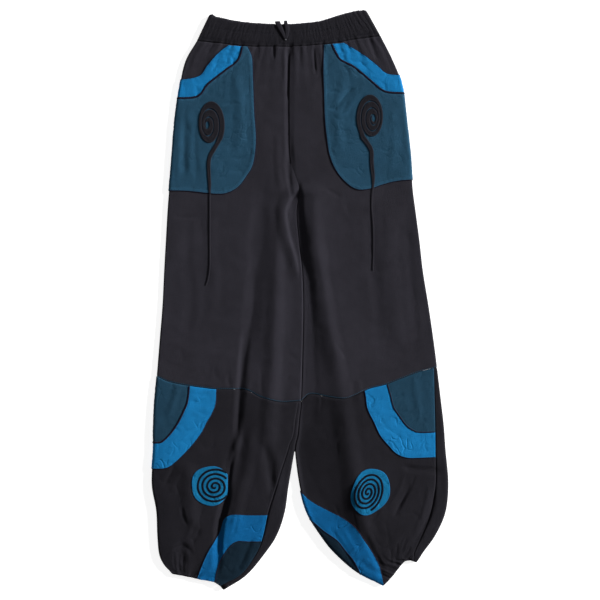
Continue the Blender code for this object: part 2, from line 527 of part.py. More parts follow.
def waistband(collection, look):
    """The gathered casing: a flattened ring, with a peak and a trough for each gather of its front."""
    across, behind, ends = 2 * BAND_GATHERS, 18, 4
    end = BAND_ROLL / (SECTIONS[0].right_outer[0] - SECTIONS[0].left_outer[0])
    step = np.arange(across + 1)
    uneven = (step + 0.5 * np.sin(2.3 * step) * np.sin(math.pi * step / across)) / across
    ring = [(end + (1 - 2 * end) * place, 1.0, (-1) ** k) for k, place in enumerate(uneven)]
    ring += [(1 - end, 1 - 2 * k / ends, 0) for k in range(1, ends)]
    ring += [(1 - end - (1 - 2 * end) * k / behind, -1.0, 0) for k in range(behind + 1)]
    ring += [(end, -1 + 2 * k / ends, 0) for k in range(1, ends)]
    share, turn, gather = np.array(ring).T
    gather *= 0.8 + 0.3 * np.sin(1.7 * np.arange(len(gather)))
    loops = []
    for height, out in BAND_PROFILE:
        point = band_points(share, turn, height, out)
        point[:, 1] += 0.7 * gather * (height > 0.9)
        point[:, 2] += out / BAND_WALL * gather * GATHER_DEPTH * (1 - 0.5 * abs(height - 0.5))
        loops.append(point)
    loops = np.stack(loops, axis=1)
    columns, rows = loops.shape[:2]
    faces = []
    for i in range(columns):
        for j in range(rows):
            k, m = (i + 1) % columns, (j + 1) % rows
            faces += [(i * rows + j, k * rows + j, k * rows + m), (i * rows + j, k * rows + m, i * rows + m)]
    return new_object("waistband", loops.reshape(-1, 3), faces, collection, look)


def flat_cord(name, path, collection, look):
    """A flat cord along a path of (x, y, z, width)."""
    path = curve(path, 2)
    way = np.gradient(path[:, :3], axis=0)
    way /= np.linalg.norm(way, axis=1, keepdims=True)
    side = np.tile([1.0, 0.0, 0.0], (len(path), 1))
    up = np.cross(side, way)
    up /= np.linalg.norm(up, axis=1, keepdims=True)
    half = path[:, 3:] / 2
    corners = [(-1, 0), (-0.7, -1), (0.7, -1), (1, 0), (0.7, 1), (-0.7, 1)]
    rings = [path[:, :3] + a * half * side + b * DRAWSTRING_THICK / 2 * up for a, b in corners]
    rings = np.stack(rings, axis=1)
    count, around = rings.shape[:2]
    faces = [tuple(range(around)), tuple(range(count * around - 1, (count - 1) * around - 1, -1))]
    for i in range(count - 1):
        for j in range(around):
            m = (j + 1) % around
            faces.append((i * around + j, (i + 1) * around + j, (i + 1) * around + m, i * around + m))
    return new_object(name, rings.reshape(-1, 3), faces, collection, look)


def clear_scene():
    for old in list(bpy.data.objects):
        bpy.data.objects.remove(old, do_unlink=True)


def new_collection(name):
    made = bpy.data.collections.new(name)
    bpy.context.scene.collection.children.link(made)
    return made


def main():
    clear_scene()
    cloth = new_collection("laid_trousers")
    cutters = new_collection("outlines")
    cutters.hide_render = True
    black = material("black cotton", BLACK, 0.92)
    teal = material("teal cotton", TEAL, 0.9)
    deep_teal = material("deep teal cotton", DEEP_TEAL, 0.9)
    blue = material("blue cotton", BLUE, 0.88)

    waistband(cloth, black)
    for side, path in CORDS:
        flat_cord("drawstring_" + side, path, cloth, black)

    uppers, lowers = {}, {}
    for side in LEGS:
        for face in ("front", "back"):
            upper, lower = upper_grid(side, face), lower_grid(side, face)
            panel(f"upper_{face}_{side}", upper, cloth, black)
            panel(f"lower_{face}_{side}", lower, cloth, black)
            if face == "front":
                uppers[side], lowers[side] = upper, lower

    crest = {"left": slice(3, None), "right": slice(3, None)}
    hips = {side: part_of(uppers[side], (0, 5.4), crest[side]) for side in LEGS}
    lefts = part_of(lowers["left"], (KNEE, HEM), slice(3, None))
    rights = part_of(lowers["right"], (KNEE, HEM), slice(0, -3))
    lift = SEAM_GAP
    mouths = {"left": (LEFT_POCKET, LEFT_MOUTH_LOW, LEFT_MOUTH_HIGH),
              "right": (RIGHT_POCKET, RIGHT_MOUTH_LOW, RIGHT_MOUTH_HIGH)}
    for side, (edge, low, high) in mouths.items():
        inwards = -1 if side == "left" else 1
        pocket = np.concatenate([curve(edge), offset(curve(low), -SEAM_GAP * inwards)])
        patch("pocket_" + side, hips[side], pocket, lift, cloth, cutters, teal)
        patch("mouth_trim_" + side, hips[side], between(low, high), lift, cloth, cutters, blue)
    for coil in COILS:
        grid = part_of(uppers[coil.side], (2, KNEE - 2), crest[coil.side])
        over = np.where(grid.v > 5.3, SEAM_GAP, 2 * SEAM_GAP + PATCH)[..., None] * grid.facing
        raised = Grid(grid.leg, grid.v, grid.a, grid.point + over, grid.facing)
        patch("pocket_coil_" + coil.side, raised, coil_outline(coil), 0.0, cloth, cutters, black, 0.9)

    knees = (("left", LEFT_KNEE_INNER, LEFT_KNEE_OUTER, lefts, -1), ("right", RIGHT_KNEE_INNER, RIGHT_KNEE_OUTER, rights, 1))
    for side, inner, outer, grid, way in knees:
        corner = np.array([[-275.0, -100.0]]) if side == "left" else np.array([[262.0, -90.0]])
        quarter = np.concatenate([offset(curve(inner), SEAM_GAP * way), corner])
        patch("knee_quarter_" + side, grid, quarter, lift, cloth, cutters, teal)
        patch("knee_band_" + side, grid, between(inner, outer), lift, cloth, cutters, blue)
    for disc in DISCS:
        grid = lefts if disc.side == "left" else rights
        patch("shin_disc_" + disc.side, grid, disc_outline(disc), lift, cloth, cutters, blue)

    hems = (("left", LEFT_HEM_OUTER, LEFT_HEM_INNER, lefts, ((-40.0, -540.0),)),
            ("right", RIGHT_HEM_OUTER, RIGHT_HEM_INNER, rights, ((-40.0, -500.0), (-40.0, -378.0))))
    for side, outer, inner, grid, far in hems:
        patch("hem_band_" + side, grid, between(outer, inner), lift, cloth, cutters, blue)
        way = 0.3 if side == "right" else -0.3
        corner = np.concatenate([offset(curve(inner), -way), np.array(far)])
        patch("hem_corner_" + side, grid, corner, lift, cloth, cutters, deep_teal)


main()
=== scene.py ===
"""Loose cotton trousers with patch pockets and appliqued legs, laid flat on their back.

Each cloth piece is a thin shell on a surface that runs once round a leg, with its folds, gathers and creases
placed one by one. Sewn-on pieces are cut to their outlines in the unrolled cloth and laid back on it. Sizes are in
millimetres unless a name says otherwise; X runs to the right as laid, Y towards the waist and Z up.
"""

import math
from collections import namedtuple
from itertools import product

import bpy
import numpy as np
from bpy.props import FloatProperty, FloatVectorProperty, PointerProperty
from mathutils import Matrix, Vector
from mathutils.geometry import delaunay_2d_cdt


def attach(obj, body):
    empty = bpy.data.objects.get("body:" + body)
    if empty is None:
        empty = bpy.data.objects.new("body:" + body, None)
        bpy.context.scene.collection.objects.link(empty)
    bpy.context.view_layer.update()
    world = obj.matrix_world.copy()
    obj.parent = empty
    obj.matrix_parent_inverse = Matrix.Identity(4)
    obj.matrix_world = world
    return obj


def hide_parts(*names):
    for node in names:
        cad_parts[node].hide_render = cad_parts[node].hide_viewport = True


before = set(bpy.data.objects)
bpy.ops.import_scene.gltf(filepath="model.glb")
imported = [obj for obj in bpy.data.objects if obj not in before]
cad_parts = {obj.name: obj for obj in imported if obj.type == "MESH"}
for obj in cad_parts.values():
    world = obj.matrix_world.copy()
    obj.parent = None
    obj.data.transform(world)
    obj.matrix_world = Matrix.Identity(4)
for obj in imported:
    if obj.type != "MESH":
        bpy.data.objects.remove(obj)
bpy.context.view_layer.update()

bl_info = {
    "name": "Laid-flat balloon-leg trousers",
    "version": (1, 0, 0),
    "blender": (4, 5, 0),
    "location": "View3D > Sidebar > Trousers",
    "description": "Builds cotton trousers with applique patches, laid flat",
    "category": "Add Mesh",
}

MM = 0.001

# Driving sizes, in millimetres.
PATCH = 1.0  # thickness of a sewn-on piece
SEAM_GAP = 0.3  # between pieces that are sewn together
LOWEST_FRONT = 3.0  # the front cloth lies on the back cloth at this height
CENTRE_HEIGHT = 7.0  # height of the centre front seam, where the layers meet
CROTCH = 5.0  # the section at which the two legs part
KNEE = 11.0  # the section of the knee seam
HEM = 20.0  # the last section
SEAM_BEHIND = 3.0  # how far past a turned edge a hidden side seam lies
EDGE_FADE = 9.0  # folds fade out this near a turned edge
INNER_FADE = 4.5  # and this near the inner edge
PUFF_FADE = 26.0  # and the swelling of a leg this near
CROTCH_DIP = 32.0  # how far the cloth sinks to either side of the gap between the legs

BAND_WALL = 2.2  # waistband: doubled cloth over elastic
BAND_ROLL = 4.1  # radius of its two turned ends
BAND_GATHERS = 34  # gathers across its front
BAND_MIDDLE = 0.52  # share of the band that lies over the left leg
BAND_HEIGHT = 46  # along the cloth
BAND_FRONT = 278  # across its front, for the pattern of its gathers
BAND_CUT = 48  # height of the cloth as cut, of which all shows
BAND_FULLNESS = 1.15  # length of the cloth over the length that the elastic leaves
CORDS_X = -30  # the band is pressed flat here by the drawstring
PRESSED_TO = 8.5  # to this height
GATHER_DEPTH = 1.1  # of the band's gathers and the folds under it
WAIST_FOLDS = 9  # soft folds under the band, across each front
HEM_FOLDS = 7  # gathers at each elastic hem

DRAWSTRING_THICK = 1.6  # thickness of the flat cord

# The legs, section by section from waist to hem: where each turned edge lies, as laid, the radius of the
# turned edge outside and inside, and how far the cloth swells between them.
Section = namedtuple(
    "Section",
    "place left_outer left_inner right_inner right_outer roll roll_left roll_right puff",
)
SECTIONS = (
    Section("waist seam", (-183, 459), (-17, 449), (-17, 449), (143, 468), 3.6, 3.0, 3.0, 0.5),
    Section("hip top", (-203, 424), (-18, 420), (-18, 420), (165, 424), 3.5, 3.0, 3.0, 1.0),
    Section("pocket mouth", (-213, 381), (-19, 378), (-19, 378), (181, 381), 3.4, 3.0, 3.0, 1.0),
    Section("hip", (-222, 318), (-19, 314), (-19, 314), (189, 318), 3.3, 3.0, 3.0, 0.5),
    Section("low hip", (-227, 254), (-17, 250), (-17, 250), (196, 254), 3.2, 2.5, 2.5, 0.0),
    Section("crotch", (-232, 197), (-1, 197), (-1, 197), (200, 197), 3.1, 1.6, 1.6, 0.0),
    Section("thigh top", (-235, 158), (-6, 158), (-6, 158), (205, 158), 3.0, 1.6, 1.6, 0.0),
    Section("upper thigh", (-238, 105), (-2, 105), (-2, 105), (212, 105), 3.0, 1.8, 1.6, -0.3),
    Section("thigh", (-241, 52), (4, 52), (4, 52), (218, 52), 3.0, 3.0, 1.7, -0.5),
    Section("low thigh", (-244, -10), (6, -10), (6, -10), (228, -10), 3.0, 3.2, 1.8, -0.5),
    Section("above knee", (-249, -72), (5, -73), (5, -73), (237, -72), 3.1, 3.2, 1.9, 0.0),
    Section("knee seam", (-254, -135), (2, -179), (2, -179), (243, -119), 3.3, 3.3, 2.1, 1.0),
    Section("below knee", (-258, -183), (-1, -208), (-1, -208), (249, -170), 3.6, 3.5, 2.4, 2.0),
    Section("calf", (-260, -231), (-4, -240), (-4, -240), (255, -222), 4.0, 3.8, 3.0, 2.5),
    Section("notch", (-260, -264), (-9, -264), (-9, -264), (258, -264), 4.3, 4.0, 3.6, 3.0),
    Section("balloon", (-263, -325), (-20, -328), (-1, -328), (263, -325), 4.7, 4.5, 4.5, 3.5),
    Section("low balloon", (-255, -373), (-27, -376), (12, -376), (258, -376), 4.8, 4.7, 4.7, 4.0),
    Section("shin", (-253, -417), (-41, -417), (37, -417), (240, -417), 4.6, 4.6, 4.6, 4.0),
    Section("above hem", (-250, -449), (-62, -449), (61, -447), (220, -445), 4.3, 4.3, 4.3, 3.5),
    Section("hem gathers", (-242, -468), (-95, -488), (100, -481), (213, -456), 4.0, 4.0, 4.0, 2.5),
    Section("hem", (-227, -485), (-135, -514), (148, -506), (207, -465), 3.6, 3.6, 3.6, 1.5),
)

# Where a section's line is bowed as laid: (share of the way from outer to inner edge, rise towards the waist),
# and how far round the leg the bow goes, from 0 for the front alone to 1 for the back as well.
Bow = namedtuple("Bow", "leg section reach behind rises")
BOWS = (
    Bow("left", 0, 1.5, 0, ((0, 0), (0.3, -2), (0.55, -4), (0.8, -2), (1, 0))),
    Bow("right", 0, 1.5, 0, ((0, 0), (0.3, -1), (0.55, -3), (0.8, -2), (1, 0))),
    Bow(
        "left",
        KNEE,
        1.2,
        0,
        ((0, 0), (0.08, -6), (0.22, -7), (0.4, -5), (0.53, 0), (0.62, 3), (0.72, -5), (0.86, -8), (1, 0)),
    ),
    Bow(
        "right",
        KNEE,
        1.2,
        0,
        ((0, 0), (0.12, 0), (0.26, -4), (0.38, -8), (0.5, -8), (0.67, -15), (0.8, -5), (0.94, 8), (1, 0)),
    ),
    Bow("left", HEM, 1.0, 1, ((0, 0), (0.33, 4), (0.55, 6), (0.8, 9), (0.92, 6), (1, 0))),
    Bow("right", HEM, 1.0, 1, ((0, 0), (0.1, 6), (0.2, 12), (0.37, 17), (0.56, 12), (0.73, 6), (0.9, 2), (1, 0))),
)

# The largest folds of the front, each along a smooth line: its height (a trough is negative) and its half
# width to the left and to the right of the line, as walked from its first point.
Fold = namedtuple("Fold", "place height left right line")
FOLDS = {
    "left": (
        ("centre front seam", -2.4, 9, 9, ((-17, 520), (-18, 446), (-19, 380), (-19, 314), (-17, 250), (-9, 212))),
        ("crotch edge", 4.5, 6, 20, ((4, 205), (-14, 186), (-27, 158), (-22, 116), (-9, 70), (-4, 30))),
        ("hip", -1.8, 12, 12, ((-200, 330), (-204, 270), (-206, 210))),
        ("pocket", 1.6, 16, 16, ((-120, 420), (-104, 340), (-110, 250))),
        ("thigh valley", -2.2, 22, 20, ((-66, 215), (-76, 100), (-84, -10), (-96, -100))),
        ("knee crease", -4.0, 13, 10, ((-93, -40), (-101, -100), (-106, -160), (-110, -215), (-113, -262))),
        ("shin crease", -6.0, 10, 13, ((-110, -250), (-124, -295), (-129, -345), (-140, -392), (-144, -440),
         (-146, -492))),
        ("inner ridge", 2.6, 20, 22, ((-38, 170), (-42, 20), (-46, -90), (-52, -200), (-60, -290))),
        ("calf ridge", 2.4, 18, 16, ((-84, -205), (-92, -285), (-110, -360), (-118, -430))),
        ("calf trough", -2.2, 12, 12, ((-62, -250), (-52, -300), (-48, -350))),
        ("outer ridge", 3.0, 22, 22, ((-200, -280), (-196, -340), (-190, -410))),
        ("hem hollow", -1.7, 12, 12, ((-205, -425), (-209, -445), (-205, -475))),
    ),
    "right": (
        ("centre front seam", -2.4, 9, 9, ((-17, 520), (-18, 446), (-19, 380), (-19, 314), (-17, 250), (-9, 212))),
        ("leg gap", -2.4, 22, 11, ((0, 190), (3, 110), (9, 20), (12, -70), (14, -165), (10, -240))),
        ("facet", 3.2, 22, 30, ((19, 190), (27, 97), (37, 30), (48, -40), (64, -110), (72, -175))),
        ("calf facet", 3.2, 26, 28, ((68, -130), (80, -231), (93, -302), (107, -390), (134, -455))),
        ("thigh", 1.4, 26, 26, ((160, 190), (158, 80), (170, -30), (176, -100))),
        ("calf crease", -1.2, 8, 9, ((192, -318), (180, -350), (166, -385))),
        ("side crease", -1.4, 8, 9, ((238, -325), (231, -370), (214, -412), (196, -440))),
        ("calf step", -2.4, 9, 10, ((178, -296), (215, -301), (256, -303))),
        ("hem crease", -1.9, 9, 9, ((108, -405), (126, -440), (139, -470), (148, -500))),
        ("pocket", 1.5, 14, 14, ((84, 410), (66, 330), (74, 250))),
    ),
}

# How far inside the turned edge the visible seams of the lower legs run, along the cloth, section by section.
LEFT_INSEAM = (7.5, 8.5, 10, 14, 24, 32, 27, 18, 11, 8.5)  # from the knee to the hem
RIGHT_SIDE_SEAM = (8, 13, 18, 21, 26, 30, 28, 20, 13, 9)

# Sewn-on pieces, as outlines in millimetres as laid. A straight run has a corner at each end.
LEFT_POCKET = ((-245, 194), (-200, 193), (-150, 188), (-128, 190), (-109, 201), (-95, 219), (-84, 238), (-79, 265),
               (-78, 293), (-81, 335), (-83, 396), (-85, 430), (-93, 449))
LEFT_MOUTH_LOW = ((-102, 449), (-105, 435), (-112, 422), (-130, 408), (-162, 383), (-183, 360), (-230, 357))
LEFT_MOUTH_HIGH = ((-127, 451), (-146, 436), (-164, 415), (-180, 396), (-225, 388))
RIGHT_POCKET = ((214, 214), (175, 211), (148, 205), (128, 198), (109, 195), (98, 197), (86, 204), (70, 220), (59, 238),
                (52, 258), (48, 281), (44, 318), (42, 373), (41, 410), (42, 452))
RIGHT_MOUTH_LOW = ((56, 453), (64, 436), (73, 424), (96, 412), (124, 389), (143, 373), (160, 367), (198, 366))
RIGHT_MOUTH_HIGH = ((78, 455), (111, 435), (137, 415), (150, 403), (164, 399), (196, 398))
LEFT_KNEE_INNER = ((-195, -140), (-199, -178), (-206, -197), (-217, -219), (-229, -236), (-241, -248), (-250, -252),
                   (-275, -252))
LEFT_KNEE_OUTER = ((-148, -146), (-149, -181), (-156, -201), (-164, -215), (-175, -236), (-192, -258), (-210, -277),
                   (-227, -292), (-242, -298), (-275, -298))
RIGHT_KNEE_INNER = ((150, -136), (160, -169), (165, -189), (176, -206), (188, -222), (201, -231), (213, -234),
                    (262, -233))
RIGHT_KNEE_OUTER = ((111, -146), (116, -171), (119, -192), (130, -215), (142, -240), (157, -258), (171, -272),
                    (190, -279), (215, -279), (262, -277))
LEFT_HEM_OUTER = ((-40, -380), (-88, -380), (-120, -379), (-134, -388), (-141, -408), (-152, -427), (-167, -454),
                  (-185, -498))
LEFT_HEM_INNER = ((-40, -427), (-88, -427), (-112, -427), (-127, -439), (-139, -458), (-147, -480), (-152, -508))
RIGHT_HEM_OUTER = ((0, -338), (12, -350), (26, -360), (47, -371), (75, -385), (98, -402), (114, -425), (131, -452),
                   (141, -473), (150, -512))
RIGHT_HEM_INNER = ((4, -378), (20, -390), (41, -408), (65, -425), (79, -442), (96, -463), (110, -492))

# Round patches on the shins: centre, half sizes, tilt in degrees, and the line of the crease that hides a side.
Disc = namedtuple("Disc", "side centre half_x half_y tilt crease_x")
DISCS = (
    Disc("left", (-157, -328), 35, 35, 0, -128),
    Disc("right", (124, -338), 33, 42, -24, 400),
)

# Wound strips on the pockets: an oval spiral whose turns drift to one side, and a tail that hangs from it,
# as (x, y, width). Angles are in degrees, and the pitch is a share of the coil's half size.
Coil = namedtuple("Coil", "side centre half_x half_y drift turn start turns pitch tail")
COILS = (
    Coil("left", (-157.5, 311.5), 25.2, 45.0, (-7.0, -1.4), 1, -33, 2.3, 0.31,
         ((-145.5, 278, 7), (-152, 267, 7), (-158, 257, 7), (-161, 247, 6.6), (-161.5, 236, 6.2), (-161, 222, 5.8),
          (-160, 206, 5.4), (-160, 192, 4), (-160, 160, 3), (-160, 110, 2.8), (-160, 60, 2.8), (-163, 38, 2.8),
          (-167, 26, 2.8))),
    Coil("right", (124.5, 324.0), 25.2, 43.5, (7.0, -3.2), -1, 213, 2.4, 0.26,
         ((112, 287, 8.5), (119, 278, 8), (125, 268, 7.6), (127, 260, 7), (127, 247, 6.8), (128, 233, 6.6),
          (129.5, 219, 6.2), (129.5, 206, 4.4), (127, 180, 3), (127, 160, 3), (129.5, 130, 2.8), (130, 90, 2.8),
          (129, 52, 2.8))),
)
COIL_HOLE = 0.13  # the open middle, as a share of the coil's half size

# The waistband's top edge, from left to right, with the small peaks of its gathered corners.
BAND_TOP = ((-160, 499), (-157, 506), (-149, 502), (-116, 495), (-84, 491), (-26, 489), (33, 494), (86, 509),
            (112, 513.4), (117, 512))

# The flat cord of the waist: out of its eyelet, up over the band's edge, and down inside. (x, y, z, width)
CORDS = (
    ("left", ((-26.4, 462, 9.5, 3.2), (-29, 469, 9.7, 5.8), (-33.5, 478, 9.8, 8.4), (-37.5, 486, 9.8, 9.6),
              (-39.5, 491, 8.9, 9.8), (-39.5, 493, 7.0, 9.4), (-39.5, 490, 4.9, 7.5), (-39, 482, 4.1, 5),
              (-38, 462, 4.1, 4.5))),
    ("right", ((-24.4, 462, 9.5, 3.2), (-23.2, 470, 9.7, 6.6), (-22.6, 479, 9.8, 8.0), (-25, 488, 9.8, 6.6),
               (-25.5, 492, 8.9, 6.0), (-25.5, 494, 7.0, 5.8), (-25, 491, 4.9, 5.2), (-23, 482, 4.1, 4.8),
               (-23, 460, 4.1, 4.5))),
)
EYELET = (-25.4, 461, 9.3, 0.95)  # middle and size of the bound hole that the drawstring comes out of
TACK = ((-17.5, 441.5), 3.2)  # the small crossed tack under the drawstring

# The finish of the cloth, beyond what the solids hold.
CRUMPLE = 0.5  # height of the soft unevenness of worn cotton
BACK_CRUMPLE = 0.3  # the same behind
SEAM_DIP = 0.7  # how far the cloth is drawn down at a seam
STITCH_DIP = 0.24  # and along a patch's stitches
CRUSH = 0.5  # depth of the small creases in the sewn-on pieces
COIL_THREAD = 0.036  # the finer line that shows between a coil's turns, as a share of its half size
HEM_CASING = 9.0  # the elastic's stitch line lies this far above the hem
EDGE_WRAP = 1.8  # how far a sewn-on piece goes past the crest of a turned edge
ROW_STEP = 2.9  # between the rows of a front panel
LEAST_STRIP = 11  # width of the narrowest strip as cut
OFF_FLOOR = 0.02  # the least height of a sewn-on piece above the surface
BAND_STITCHES = (0.13, 0.56)  # stitch lines along the waistband, as shares of its height

# Flat facets in the folded cloth, which face away from the light: the cloth rises evenly from a foot to a ridge
# and falls off softly over the spread beyond it. Each row is y, the foot's x, the ridge's x and how far the foot sinks.
Facet = namedtuple("Facet", "place leg slope spread rows")
FACETS = (
    Facet("inner side of the right leg", "right", 0.13, 120,
          ((250, -2, 16, 0), (188, 2, 24, 0), (130, 2, 27, 0), (97, 5, 30, 0.4), (30, 7, 40, 0.8), (-40, 9, 51, 1.0),
           (-110, 10, 67, 1.6), (-180, 6, 78, 3.6), (-240, 0, 84, 4.6), (-300, 14, 94, 4.4), (-372, 50, 108, 4.2),
           (-450, 110, 133, 0))),
    Facet("wide shade on the left leg", "left", 0.085, 34,
          ((236, -58, -30, 0), (176, -66, -34, 0), (110, -74, -40, 0), (40, -80, -43, 0), (-30, -84, -45, 0),
           (-110, -90, -50, 0), (-190, -98, -58, 0), (-270, -104, -68, 0.6), (-340, -104, -76, 0.6))),
)
FACET_TOP = 5.6  # the most that a facet adds

